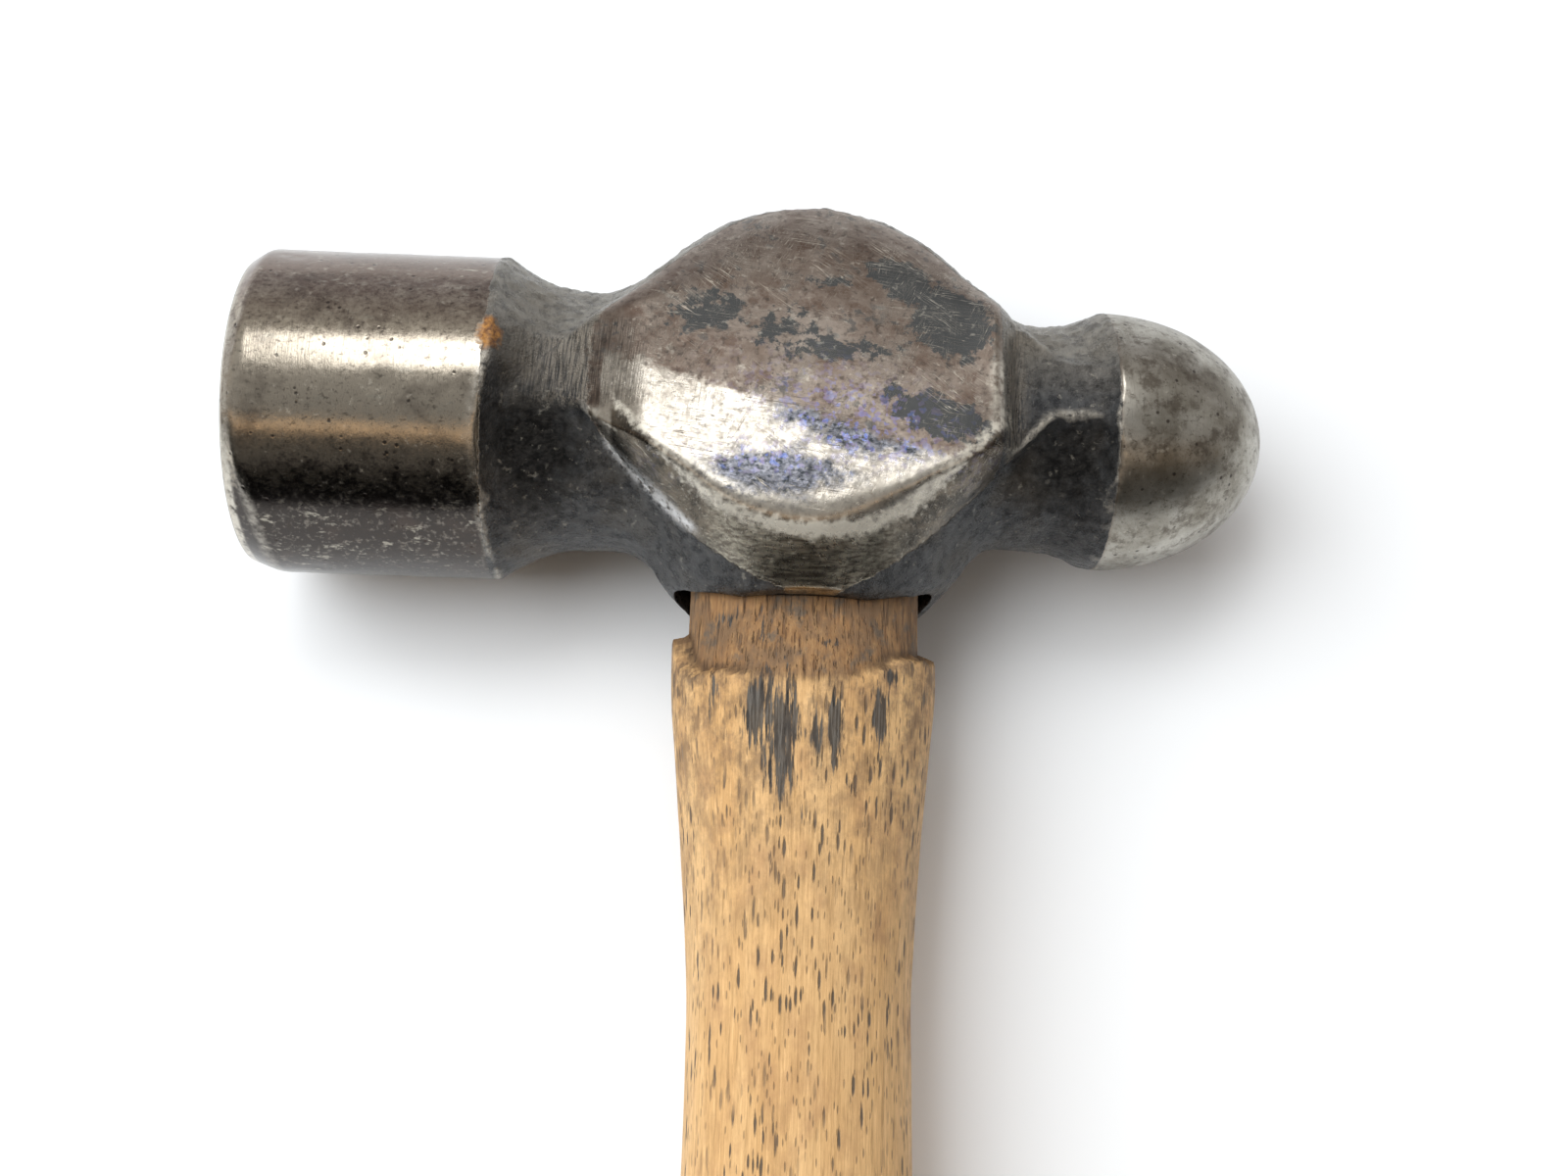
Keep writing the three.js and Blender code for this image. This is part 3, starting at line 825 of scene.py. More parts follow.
class Shades:
    """Short calls for building one material's nodes. Lengths are millimetres."""

    def __init__(self, name):
        self.material = bpy.data.materials.new(name)
        self.material.use_nodes = True
        self.tree = self.material.node_tree
        self.shader = self.tree.nodes["Principled BSDF"]
        coordinates = self.tree.nodes.new("ShaderNodeTexCoord")
        millimetres = self.tree.nodes.new("ShaderNodeVectorMath")
        millimetres.operation = "SCALE"
        self.put(millimetres, "Vector", coordinates.outputs["Object"])
        self.put(millimetres, "Scale", 1 / MM)
        self.place = millimetres.outputs[0]

    def put(self, node, socket, value):
        target = node.inputs[socket]
        if isinstance(value, bpy.types.NodeSocket):
            self.tree.links.new(value, target)
        elif value is not None:
            target.default_value = value

    def calc(self, operation, a, b=None):
        node = self.tree.nodes.new("ShaderNodeMath")
        node.operation = operation
        self.put(node, 0, a)
        self.put(node, 1, b)
        return node.outputs[0]

    def plus(self, a, b):
        return self.calc("ADD", a, b)

    def minus(self, a, b):
        return self.calc("SUBTRACT", a, b)

    def all_of(self, *values):
        result = values[0]
        for value in values[1:]:
            result = self.calc("MULTIPLY", result, value)
        return result

    def most(self, *values):
        result = values[0]
        for value in values[1:]:
            result = self.calc("MAXIMUM", result, value)
        return result

    def split(self, vector):
        node = self.tree.nodes.new("ShaderNodeSeparateXYZ")
        self.put(node, 0, vector)
        return node.outputs[:3]

    def join(self, x, y, z):
        node = self.tree.nodes.new("ShaderNodeCombineXYZ")
        for socket, value in enumerate((x, y, z)):
            self.put(node, socket, value)
        return node.outputs[0]

    def mask(self, name):
        node = self.tree.nodes.new("ShaderNodeAttribute")
        node.attribute_name = name
        return node.outputs["Fac"]

    def scaled(self, at, size, stretch, turn=(0, 0, 0)):
        mapping = self.tree.nodes.new("ShaderNodeMapping")
        mapping.vector_type = "TEXTURE"
        self.put(mapping, "Vector", at or self.place)
        mapping.inputs["Rotation"].default_value = [math.radians(a) for a in turn]
        mapping.inputs["Scale"].default_value = [size * s for s in stretch]
        return mapping.outputs[0]

    def noise(self, size, detail, rough, stretch=(1, 1, 1), turn=(0, 0, 0), at=None, warp=0.0):
        """Noise from 0 to 1 with features of `size` mm, times `stretch` along each axis."""
        node = self.tree.nodes.new("ShaderNodeTexNoise")
        self.put(node, "Vector", self.scaled(at, size, stretch, turn))
        self.put(node, "Scale", 1.0)
        self.put(node, "Detail", detail)
        self.put(node, "Roughness", rough)
        self.put(node, "Distortion", warp)
        return node.outputs["Fac"]

    def cells(self, size, stretch=(1, 1, 1), at=None):
        """Distance to the nearest of scattered points, and a random value for each."""
        node = self.tree.nodes.new("ShaderNodeTexVoronoi")
        node.voronoi_dimensions = "3D" if at is None else "2D"
        self.put(node, "Vector", self.scaled(at, size, stretch))
        self.put(node, "Scale", 1.0)
        return node.outputs["Distance"], self.split(node.outputs["Color"])[0]

    def spread(self, value, low, high, to_low=0.0, to_high=1.0):
        """The value's range from low to high, laid over to_low to to_high and held there."""
        node = self.tree.nodes.new("ShaderNodeMapRange")
        for socket, number in enumerate((value, low, high, to_low, to_high)):
            self.put(node, socket, number)
        return node.outputs[0]

    def without(self, share):
        return self.spread(share, 0, 1, 1, 0)

    def line(self, value, centre, width):
        """1 where the value is at the centre, falling to 0 at `width` either side."""
        return self.spread(self.calc("ABSOLUTE", self.minus(value, centre)), 0.0, width, 1.0, 0.0)

    def ragged(self, mask, noise, sway, start, end, low=0.2, high=0.8):
        """A mask cut off between start and end, its border swayed by the noise."""
        return self.spread(self.plus(mask, self.spread(noise, low, high, -sway, sway)), start, end)

    def blend(self, a, b, share):
        node = self.tree.nodes.new("ShaderNodeMix")
        node.data_type = "RGBA"
        self.put(node, 0, share)
        for socket, value in ((6, a), (7, b)):
            self.put(node, socket, (*value, 1.0) if isinstance(value, tuple) else value)
        return node.outputs[2]

    def layered(self, colour, *layers):
        """Lays tones over a colour, each where its field runs from low to high."""
        for tone, field, low, high, share in layers:
            colour = self.blend(colour, tone, self.spread(field, low, high, 0.0, share))
        return colour

    def mixed(self, a, b, share):
        node = self.tree.nodes.new("ShaderNodeMix")
        self.put(node, 0, share)
        self.put(node, 2, a)
        self.put(node, 3, b)
        return node.outputs[0]

    def bump(self, height, depth, before=None):
        """Relief of `depth` mm where the height is 1."""
        node = self.tree.nodes.new("ShaderNodeBump")
        node.inputs["Distance"].default_value = depth * MM
        self.put(node, "Height", height)
        self.put(node, "Normal", before)
        return node.outputs[0]


def scratches(s, angle, often, size=0.2, length=40, width=0.012):
    """Fine straight scratches in scattered groups, `angle` degrees round from X."""
    turn = (0, 0, angle)
    lines = s.noise(size, 1.0, 0.3, (length, 1, 4), turn)
    groups = s.noise(5.0, 2.0, 0.5, (1.6, 1, 1), turn)
    return s.all_of(s.line(lines, 0.5, width), s.spread(groups, often, often + 0.12))


def cheek_tone(s, film):
    """Brown patina, cloudy at several sizes, with bright steel where the film is worn off."""
    brown = s.layered(
        s.blend((0.21, 0.165, 0.135), (0.33, 0.285, 0.245), s.spread(s.cloud, 0.38, 0.64)),
        ((0.15, 0.105, 0.082), s.mid, 0.50, 0.36, 0.8),
        ((0.56, 0.52, 0.45), s.mid, 0.60, 0.72, 0.75),
        ((0.07, 0.06, 0.055), s.fine, 0.55, 0.70, 0.65),
    )
    bright = s.layered(
        s.blend((0.46, 0.42, 0.36), (0.66, 0.62, 0.55), s.spread(s.cloud, 0.35, 0.65)),
        ((0.22, 0.19, 0.16), s.fine, 0.50, 0.66, 0.5),
        ((0.09, 0.085, 0.08), s.etched, 0.56, 0.68, 0.6),
    )
    grey = s.blend((0.025, 0.03, 0.036), (0.20, 0.205, 0.235), s.spread(s.etched, 0.38, 0.62))
    greyed = s.ragged(s.mask("tint"), s.mid, 0.35, 0.3, 0.7, 0.25, 0.75)
    return s.blend(brown, s.blend(bright, grey, greyed), film)


def bevel_tone(s, x):
    """Dark and mottled, with a painted highlight across the middle, brushed into streaks."""
    brushed = s.noise(0.35, 3.0, 0.6, (14, 1, 1))
    middle = s.spread(s.calc("ABSOLUTE", s.plus(x, 0.5)), 6.0, 11.0, 1.0, 0.0)
    dark = s.blend((0.018, 0.016, 0.013), (0.14, 0.115, 0.085), s.spread(s.mid, 0.42, 0.62))
    # Painted highlight: the light tone where the rounded bevel faces the light, brushed into
    # streaks
    light = s.blend((0.20, 0.175, 0.14), (0.62, 0.58, 0.47), s.spread(brushed, 0.40, 0.60))
    return s.blend(dark, light, middle)


def poll_tone(s, degrees):
    """Patina with painted shade that darkens it below, wiped clean in a band and scraped through in
    places.
    """
    clean = s.all_of(s.spread(degrees, 30, 2), s.spread(degrees, -50, -36))
    # Painted shade: the patina darkens from the middle line to 30 degrees below it
    patina = s.layered(
        s.blend((0.20, 0.155, 0.13), (0.066, 0.059, 0.055), s.spread(degrees, 0, -30)),
        ((0.30, 0.27, 0.235), s.fine, 0.56, 0.68, 0.5),
    )
    scrape = s.noise(1.5, 5.0, 0.7, (2.2, 1, 1))
    return s.layered(
        s.blend(patina, (0.50, 0.45, 0.37), clean),
        ((0.46, 0.43, 0.36), scrape, 0.61, 0.66, 0.7),
        ((0.10, 0.08, 0.07), s.cloud, 0.52, 0.66, 0.5),
        ((0.07, 0.06, 0.05), s.etched, 0.56, 0.68, 0.6),
    )


def face_tone(s):
    return s.layered(
        s.blend((0.50, 0.46, 0.40), (0.30, 0.26, 0.22), s.spread(s.cloud, 0.42, 0.62)),
        ((0.14, 0.11, 0.09), s.etched, 0.56, 0.68, 0.7),
    )


def ball_tone(s):
    return s.layered(
        s.blend((0.24, 0.22, 0.18), (0.48, 0.46, 0.41), s.spread(s.cloud, 0.36, 0.62)),
        ((0.14, 0.12, 0.095), s.mid, 0.50, 0.64, 0.8),
        ((0.10, 0.09, 0.07), s.etched, 0.57, 0.68, 0.7),
    )


def scale_tone(s, y, grind, pocket_shaded):
    """Forge scale on the necks and round the rim, paler towards the upper side, with painted shade
    in black over the hollows below the necks' ridges.
    """
    scale = s.blend((0.030, 0.032, 0.035), (0.125, 0.128, 0.13), s.spread(s.crust, 0.35, 0.70))
    # Paler scale towards the upper side
    upper_scale = s.blend((0.10, 0.095, 0.085), (0.30, 0.28, 0.245), s.spread(s.crust, 0.33, 0.68))
    scale = s.blend(scale, upper_scale, s.spread(y, -1.0, 6.0))
    scale = s.layered(scale, ((0.16, 0.135, 0.10), s.noise(7.0, 3.0, 0.5), 0.5, 0.7, 0.35))
    ground = s.all_of(s.mask("grind"), s.spread(grind, 0.60, 0.45, 0.0, 0.6))
    scale = s.blend(scale, (0.45, 0.40, 0.33), ground)
    # Painted shade: near-black over the hollows below the necks' ridges
    black = s.blend((0.006, 0.006, 0.006), (0.045, 0.043, 0.04), s.spread(s.etched, 0.42, 0.66))
    return s.blend(scale, black, s.all_of(pocket_shaded, 0.92))


def head_steel():
    s = Shades("head_steel")
    s.cloud = s.noise(6.0, 5.0, 0.62)
    s.mid = s.noise(2.2, 5.0, 0.7)
    s.fine = s.noise(0.7, 3.0, 0.6)
    s.etched = s.noise(0.55, 4.0, 0.7, (1.3, 1, 1))
    s.crust = s.noise(1.3, 5.0, 0.65)
    specks = s.noise(1.1, 4.0, 0.6)
    rub = s.noise(0.9, 4.0, 0.65)
    forged, edge, polish = [s.mask(name) for name in ("forged", "edge", "polish")]
    x, y, z = s.split(s.place)
    angle = s.calc("ARCTAN2", y, s.calc("ABSOLUTE", s.minus(z, AXIS_HEIGHT)))
    unrolled = s.join(x, s.all_of(angle, POLL_RADIUS), z)

    film = s.ragged(polish, s.mid, 0.4, 0.35, 0.65, 0.25, 0.75)
    # The bevel's tone holds a painted highlight across its middle
    worn = s.blend(cheek_tone(s, film), bevel_tone(s, x), s.all_of(s.mask("bevel"), 0.9))

    # Poll and ball: turned surfaces with fine marks running round the head
    on_ball = s.spread(x, BALL_X - 0.6, BALL_X + 0.2)
    on_face = s.spread(x, FACE_X + 0.55, FACE_X + 0.2)
    on_poll = s.spread(x, POLL_BACK_X + 0.3, POLL_BACK_X - 0.6)
    turned = s.most(on_ball, on_poll)
    marks = s.noise(0.13, 2.0, 0.6, (1, 28, 1), at=unrolled)
    sway = [s.spread(s.mid, 0.30, 0.72, -9.0, 9.0), s.spread(s.etched, 0.3, 0.7, -9.0, 9.0)]
    degrees = s.plus(s.all_of(angle, 180 / math.pi), s.plus(*sway))
    # The poll's tone holds painted shade below
    worn = s.blend(worn, poll_tone(s, degrees), on_poll)
    worn = s.blend(worn, face_tone(s), on_face)
    worn = s.blend(worn, ball_tone(s), on_ball)
    dark_marks = s.all_of(turned, s.spread(marks, 0.56, 0.75, 0.0, 0.45))
    worn = s.blend(worn, (0.08, 0.07, 0.065), dark_marks)
    pit_distance, pit_chance = s.cells(1.15)
    pits = s.all_of(turned, s.spread(pit_distance, 0.13, 0.22, 1, 0))
    pits = s.all_of(pits, s.spread(pit_chance, 0.70, 0.72))
    worn = s.blend(worn, (0.05, 0.04, 0.035), s.all_of(pits, 0.8))

    # Blue-grey oxide that is left in patches on the cheeks
    patches = s.ragged(s.mask("oxide"), s.noise(1.6, 6.0, 0.68), 0.5, 0.44, 0.54)
    scatter = s.all_of(s.spread(s.noise(4.5, 2.0, 0.5), 0.52, 0.62), s.spread(specks, 0.53, 0.58))
    scatter = s.all_of(scatter, s.spread(polish, 0.2, 0.8, 0.7, 0.0), s.without(turned))
    oxide = s.all_of(s.most(patches, scatter), s.without(forged))
    colour = s.blend(worn, (0.062, 0.067, 0.069), s.all_of(oxide, 0.96))

    # Scratches in several directions
    cuts = s.most(
        scratches(s, -8, 0.46),
        scratches(s, 62, 0.50),
        scratches(s, -38, 0.55, size=0.3, length=25, width=0.02),
        scratches(s, 84, 0.54, size=0.16),
    )
    cuts = s.all_of(cuts, s.without(turned))
    colour = s.blend(colour, (0.70, 0.65, 0.55), s.all_of(cuts, 0.75))

    # Heat tint: violet and blue grains
    _, chance = s.cells(0.45)
    tinted = s.all_of(s.mask("tint"), s.spread(chance, 0.70, 0.80), s.spread(y, -13.0, -10.0))
    blue = s.blend((0.10, 0.19, 0.62), (0.36, 0.27, 0.52), s.spread(s.fine, 0.4, 0.6))
    colour = s.blend(colour, blue, s.all_of(tinted, 0.42))

    # Forge scale, with painted shade in its hollows, and grinding lines across it
    grind = s.noise(0.16, 2.0, 0.55, (1, 22, 1), (0, 0, -4))
    grind_lines = s.all_of(s.mask("grind"), s.spread(grind, 0.42, 0.62))
    # Painted shade over the hollows below the necks' ridges
    pocket_shaded = s.ragged(s.mask("pocket_shade"), specks, 0.3, 0.2, 0.75)
    is_scale = s.ragged(forged, specks, 0.35, 0.42, 0.58)
    colour = s.blend(colour, scale_tone(s, y, grind, pocket_shaded), is_scale)
    colour = s.blend(colour, (0.05, 0.048, 0.045), s.all_of(grind_lines, 0.6))

    # Edges are rubbed bright, and painted highlights lie along the lower cheek's ridge and the
    # bevel's foot
    rubbed = s.all_of(s.spread(edge, 0.25, 0.75), s.spread(rub, 0.34, 0.56))
    colour = s.blend(colour, (0.68, 0.64, 0.56), s.all_of(rubbed, 0.9))
    # Painted highlight on the lower cheek's ridge, broken up like rubbed wear
    ridge = s.ragged(s.mask("ridge"), rub, 0.35, 0.2, 0.7, 0.3, 0.7)
    colour = s.blend(colour, (0.74, 0.70, 0.60), s.all_of(ridge, 0.85))
    # Painted highlight along the bevel's foot, broken up by the rub noise
    line = s.all_of(s.mask("foot_line"), s.spread(rub, 0.36, 0.50))
    colour = s.blend(colour, (0.80, 0.80, 0.80), line)
    rubbed = s.most(rubbed, line)

    # Rust, and painted shade that darkens the inside of the eye nearly to black
    is_rust = s.ragged(s.mask("rust"), specks, 0.3, 0.40, 0.66)
    rust = s.blend((0.17, 0.065, 0.02), (0.50, 0.23, 0.05), s.spread(s.etched, 0.38, 0.60))
    colour = s.blend(colour, rust, s.all_of(is_rust, 0.85))
    inside = s.mask("inside")
    colour = s.blend(colour, (0.006, 0.005, 0.005), s.all_of(inside, 0.97))

    rusty_or_crusted = s.most(s.all_of(is_scale, 0.35), s.all_of(oxide, 0.3), is_rust)
    # Less metallic on the ridge, so its painted highlight shows as pale diffuse colour
    metallic = s.minus(1.0, s.most(rusty_or_crusted, s.all_of(ridge, 0.55)))
    patina_gloss = s.spread(s.fine, 0.3, 0.7, 0.34, 0.46)
    rough = s.mixed(patina_gloss, s.spread(s.fine, 0.3, 0.7, 0.22, 0.34), film)
    for gloss, share in (
        (0.42, s.all_of(oxide, 0.8)),
        (s.spread(s.crust, 0.3, 0.7, 0.20, 0.38), is_scale),
        (s.spread(s.fine, 0.3, 0.7, 0.13, 0.24), on_poll),
        (s.spread(s.mid, 0.35, 0.65, 0.30, 0.44), on_ball),
        (0.8, s.most(is_rust, s.all_of(s.all_of(pocket_shaded, is_scale), 0.8))),
        (0.3, s.all_of(rubbed, 0.7)),
        (0.8, inside),
    ):
        rough = s.mixed(rough, gloss, share)

    grit = s.all_of(s.noise(0.32, 4.0, 0.65), is_scale)
    low = s.most(cuts, grind_lines, pits)
    normal = s.bump(grit, 0.20)
    normal = s.bump(s.all_of(s.fine, s.without(is_scale)), 0.012, normal)
    normal = s.bump(s.all_of(marks, turned), 0.005, normal)
    normal = s.bump(s.all_of(low, -1.0), 0.014, normal)
    s.put(s.shader, "Base Color", colour)
    s.put(s.shader, "Metallic", metallic)
    s.put(s.shader, "Roughness", rough)
    s.put(s.shader, "Normal", normal)
    return s.material


def pores(s, at, width, length, share, ragged):
    """Open pores: short dashes along the grain, `share` of the cells holding one."""
    distance, chance = s.cells(width, (1, length / width, 1), at=at)
    distance = s.plus(distance, s.spread(ragged, 0.3, 0.7, -0.07, 0.07))
    return s.all_of(s.spread(distance, 0.13, 0.25, 1, 0), s.spread(chance, 1 - share, 1.02 - share))


def shade_of(colour, share):
    return tuple(min(1, c * share) for c in colour)


def used_wood(s, colour, height, fibres, y):
    """What use adds to the wood: dirt, soil on the tenon, grime near the head and stains; also
    painted shade in the hollows and along the shoulder's cut line.
    """
    handled = s.spread(s.noise(0.8, 4.0, 0.6), 0.3, 0.7, 0.35, 0.9)
    colour = s.blend(colour, (0.17, 0.10, 0.055), s.all_of(s.mask("end_grain"), handled))
    tenon = s.mask("tenon")
    streaks = s.noise(0.4, 4.0, 0.65, (1, 12, 1))
    soil = s.all_of(tenon, s.spread(streaks, 0.3, 0.7, 0.55, 1.0))
    colour = s.blend(colour, (0.20, 0.10, 0.045), s.all_of(soil, 0.95))
    cracks = s.all_of(tenon, s.spread(s.noise(0.32, 3.0, 0.6, (1, 22, 1)), 0.60, 0.66))
    colour = s.blend(colour, (0.05, 0.03, 0.02), s.all_of(cracks, 0.8))
    grime = s.spread(s.noise(2.2, 6.0, 0.7, (1, 1.6, 1)), 0.42, 0.60, 0.0, 0.85)
    grime = s.all_of(grime, s.spread(y, -66.0, -30.0))
    colour = s.blend(colour, (0.19, 0.12, 0.07), grime)
    smoky = s.spread(s.noise(2.8, 5.0, 0.7, (1, 1.4, 1)), 0.56, 0.66, 0.0, 0.7)
    colour = s.blend(colour, (0.11, 0.10, 0.085), s.all_of(smoky, s.spread(y, -44.0, -27.0)))
    stained = s.ragged(s.mask("stain"), streaks, 0.6, 0.40, 0.62, 0.25, 0.75)
    ink = s.blend((0.030, 0.031, 0.032), (0.13, 0.125, 0.115), s.spread(fibres, 0.44, 0.64))
    colour = s.blend(colour, ink, s.all_of(stained, 0.93))
    # Painted shade in the hollows and along the shoulder's cut line
    colour = s.blend(colour, CREASE_SHADE, s.all_of(s.mask("hollow"), 0.75))
    line = s.all_of(s.mask("cut_line"), s.spread(streaks, 0.35, 0.6))
    colour = s.blend(colour, CREASE_SHADE, s.all_of(line, 0.6))
    return colour, s.minus(height, cracks)


def wood(name, light, deep, used):
    s = Shades(name)
    x, y, z = s.split(s.place)
    around = s.calc("ARCTAN2", x, s.minus(z, AXIS_HEIGHT))
    unrolled = s.join(s.all_of(around, TENON_HALF_X), y, 0.0)

    # Slow bands of tone along the grain, then fine fibres
    bands = s.noise(4.5, 3.0, 0.5, (1, 9, 1), warp=0.3)
    fibres = s.noise(0.26, 4.0, 0.65, (1, 20, 1))
    hairs = s.noise(0.12, 2.0, 0.6, (1, 14, 1))
    blotch = s.noise(3.6, 5.0, 0.65, (1, 1.7, 1))
    colour = s.layered(
        s.blend(light, deep, s.spread(bands, 0.35, 0.68)),
        (shade_of(deep, 0.62), fibres, 0.52, 0.70, 0.75),
        (shade_of(light, 1.25), fibres, 0.46, 0.30, 0.7),
        (shade_of(deep, 0.6), hairs, 0.56, 0.72, 0.45),
        ((0.42, 0.235, 0.115), blotch, 0.50, 0.68, 0.6),
    )

    ragged = s.noise(0.3, 3.0, 0.6, (1, 5, 1))
    crowd = s.spread(s.noise(6.0, 2.0, 0.5, (1, 1.6, 1)), 0.38, 0.54, 0.25, 1.0)
    big = pores(s, unrolled, 0.95, 5.2, 0.34, ragged)
    middling = pores(s, unrolled, 0.62, 3.4, 0.26, ragged)
    small = pores(s, unrolled, 0.42, 2.0, 0.24, ragged)
    pore = s.most(s.all_of(big, crowd), s.all_of(middling, crowd), s.all_of(small, 0.55))
    pore = s.all_of(pore, s.without(s.mask("end_grain")), 1.0 if used else 0.0)
    colour = s.blend(colour, (0.062, 0.058, 0.055), s.all_of(pore, 0.88))
    height = s.minus(s.all_of(fibres, 0.6), pore)
    if used:
        colour, height = used_wood(s, colour, height, fibres, y)
    s.put(s.shader, "Base Color", colour)
    s.put(s.shader, "Roughness", s.spread(fibres, 0.3, 0.7, 0.5, 0.75))
    s.put(s.shader, "Specular IOR Level", 0.4)
    s.put(s.shader, "Normal", s.bump(height, 0.12))
    return s.material


def wedge_steel():
    s = Shades("wedge_steel")
    cloud = s.noise(1.6, 4.0, 0.6)
    rust = s.spread(s.noise(2.1, 5.0, 0.7), 0.55, 0.66, 0.0, 0.8)
    steel = s.blend((0.09, 0.075, 0.065), (0.36, 0.33, 0.30), s.spread(cloud, 0.38, 0.64))
    s.put(s.shader, "Base Color", s.blend(steel, (0.20, 0.085, 0.03), rust))
    s.put(s.shader, "Metallic", s.spread(rust, 0.0, 0.8, 1.0, 0.2))
    s.put(s.shader, "Roughness", s.spread(cloud, 0.3, 0.7, 0.35, 0.6))
    s.put(s.shader, "Normal", s.bump(s.noise(0.5, 4.0, 0.6), 0.05))
    return s.material


# ---- Camera, floor and light ------------------------------------------------------------

FLOOR_LEAN = math.radians(0.75)
FLOOR_HALF = 3.0
CAMERA_TILT = math.radians(17.5)
CAMERA_YAW = math.radians(-1.5)
CAMERA_ROLL = math.radians(1.59)
CAMERA_REACH = 197.8
CAMERA_ANGLE = 2 * math.atan(800 / 1780)
CAMERA_SIDE = 2.556
CAMERA_RISE = 17.72
CAMERA_CLIP = 0.005
BACKDROP = (0.45, 0.45, 0.45, 1.0)


def make_camera():
    tilt, roll = CAMERA_TILT, CAMERA_ROLL
    yaw = Matrix.Rotation(CAMERA_YAW, 3, "Y")
    ahead = yaw @ Vector((0, math.sin(tilt), -math.cos(tilt)))
    top = yaw @ Vector((0, math.cos(tilt), math.sin(tilt)))
    along = yaw @ Vector((1, 0, 0))
    right = math.cos(roll) * along + math.sin(roll) * top
    up = -math.sin(roll) * along + math.cos(roll) * top
    place = Vector((0, 0, AXIS_HEIGHT)) - right * CAMERA_SIDE - up * CAMERA_RISE
    place -= ahead * CAMERA_REACH
    camera = bpy.data.objects.new("camera", bpy.data.cameras.new("camera"))
    turn = Matrix((right, up, -ahead)).transposed()
    camera.matrix_world = Matrix.Translation(place * MM) @ turn.to_4x4()
    camera.data.sensor_fit = "HORIZONTAL"
    camera.data.angle = CAMERA_ANGLE
    camera.data.clip_start = CAMERA_CLIP
    bpy.context.scene.collection.objects.link(camera)
    bpy.context.scene.camera = camera


def make_stage():
    """White paper, tilted a little so that the head and the end of the grip both touch it."""
    mesh = bpy.data.meshes.new("floor")
    drop = (POLL_RADIUS - AXIS_HEIGHT) * MM
    signs = ((-1, -1), (1, -1), (1, 1), (-1, 1))
    corners = [(i * FLOOR_HALF, j * FLOOR_HALF) for i, j in signs]
    level = [(x, y, -y * math.tan(FLOOR_LEAN) - drop) for x, y in corners]
    mesh.from_pydata(level, [], [(0, 1, 2, 3)])
    floor = bpy.data.objects.new("floor", mesh)
    bpy.context.scene.collection.objects.link(floor)
    material = bpy.data.materials.new("paper")
    material.use_nodes = True
    shader = material.node_tree.nodes["Principled BSDF"]
    shader.inputs["Base Color"].default_value = (0.92, 0.94, 0.96, 1)
    shader.inputs["Roughness"].default_value = 0.9
    mesh.materials.append(material)


# Brightness of the room by the direction's angle from straight up towards +Y, in degrees
ROOM = [
    (-90, (0.14, 0.13, 0.13)), (-84, (0.03, 0.03, 0.03)), (-62, (0.04, 0.038, 0.035)),
    (-58, (0.10, 0.095, 0.09)), (-37, (0.12, 0.11, 0.10)), (-33, (0.95, 0.68, 0.45)),
    (-30, (0.85, 0.64, 0.45)), (-26, (0.28, 0.275, 0.27)), (8, (0.44, 0.43, 0.42)),
    (38, (0.50, 0.48, 0.45)), (60, (0.40, 0.37, 0.36)), (90, (0.75, 0.76, 0.80)),
]


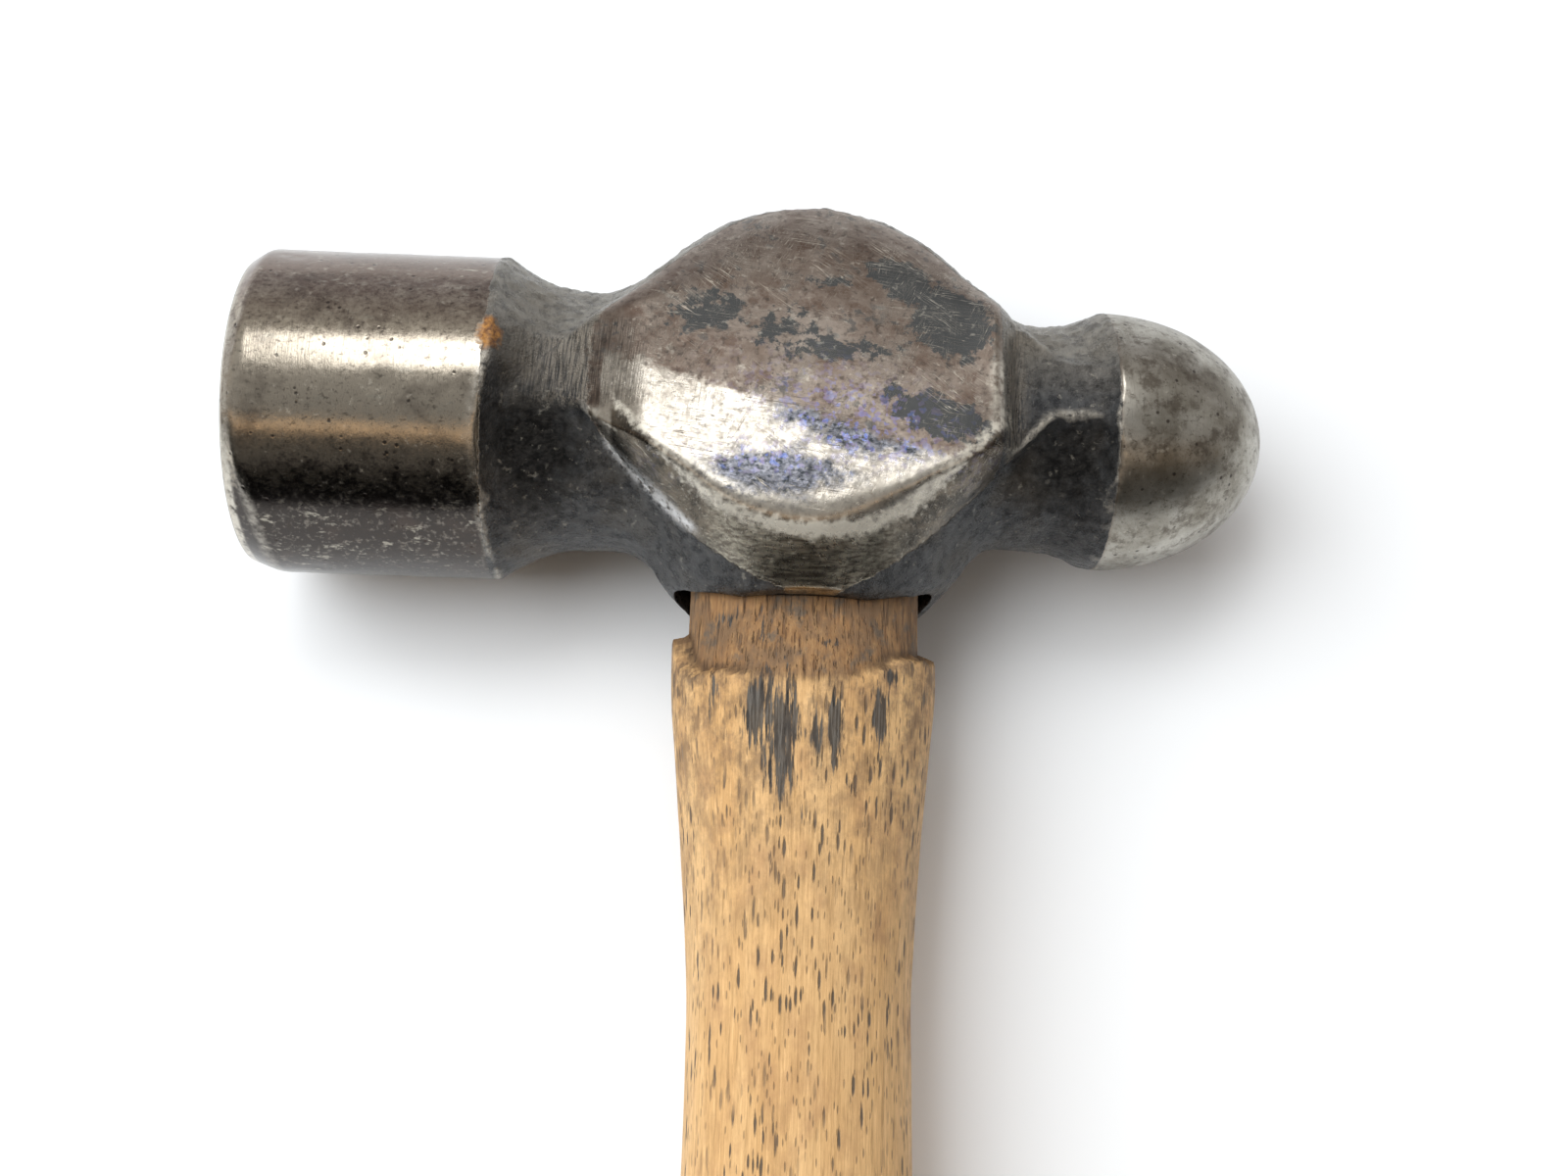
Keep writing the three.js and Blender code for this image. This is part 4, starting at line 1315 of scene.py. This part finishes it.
def make_world():
    """A room that is brighter or darker with the angle, seen in reflections only."""
    world = bpy.data.worlds.new("room")
    bpy.context.scene.world = world
    world.use_nodes = True
    tree = world.node_tree
    direction, parts, angle, scale, ramp, seen, pick = [
        tree.nodes.new("ShaderNode" + kind)
        for kind in ("TexCoord", "SeparateXYZ", "Math", "MapRange", "ValToRGB", "LightPath", "Mix")
    ]
    angle.operation = "ARCTAN2"
    scale.inputs["From Min"].default_value = -math.pi / 2
    scale.inputs["From Max"].default_value = math.pi / 2
    stops = ramp.color_ramp.elements
    while len(stops) > 1:
        stops.remove(stops[-1])
    for i, (degrees, colour) in enumerate(ROOM):
        at = (degrees + 90) / 180
        stop = stops[0] if i == 0 else stops.new(at)
        stop.position = at
        stop.color = (*colour, 1)
    pick.data_type = "RGBA"
    pick.inputs[7].default_value = BACKDROP
    for source, target in (
        (direction.outputs["Generated"], parts.inputs[0]),
        (parts.outputs["Y"], angle.inputs[0]),
        (parts.outputs["Z"], angle.inputs[1]),
        (angle.outputs[0], scale.inputs[0]),
        (scale.outputs[0], ramp.inputs[0]),
        (seen.outputs["Is Camera Ray"], pick.inputs[0]),
        (ramp.outputs[0], pick.inputs[6]),
        (pick.outputs[2], tree.nodes["Background"].inputs[0]),
    ):
        tree.links.new(source, target)


def softbox(name, place, size, radiance, colour=(1, 1, 1), glossy=True):
    light = bpy.data.lights.new(name, "AREA")
    light.shape = "RECTANGLE"
    light.size, light.size_y = size
    light.color = colour
    light.energy = radiance * math.pi * size[0] * size[1]
    lamp = bpy.data.objects.new(name, light)
    lamp.location = place
    lamp.rotation_euler = (-Vector(place)).to_track_quat("-Z", "Y").to_euler()
    lamp.visible_glossy = glossy
    bpy.context.scene.collection.objects.link(lamp)


# ---- Build ------------------------------------------------------------------------------


def dress(piece, node, material):
    piece.data.materials.append(material)
    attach(piece, "root")
    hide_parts(node)


make_camera()
make_stage()
make_world()
softbox("window", (-0.10, 0.43, 1.0), (0.50, 0.40), 3.3)
softbox("fill", (-0.85, 0.10, 1.25), (1.3, 1.3), 4.7, (0.95, 0.98, 1.0), glossy=False)

dress(make_head(), "hammer_head", head_steel())
handle_wood = wood("handle_wood", (0.74, 0.475, 0.225), (0.62, 0.37, 0.16), True)
dress(make_handle(), "handle", handle_wood)
wedge_wood = wood("wedge_wood", (0.50, 0.33, 0.18), (0.36, 0.21, 0.10), False)
kerf_wedge = wedge_piece("split_wedge", "wooden_kerf_wedge", 0.1, slots=WEDGES[1:])
dress(kerf_wedge, "wooden_kerf_wedge", wedge_wood)
iron = wedge_steel()
for side in ("face", "ball"):
    node = f"steel_wedge_{side}_side"
    dress(wedge_piece(f"iron_wedge_{side}", node, 0.06), node, iron)

bpy.context.scene.view_settings.view_transform = "Standard"
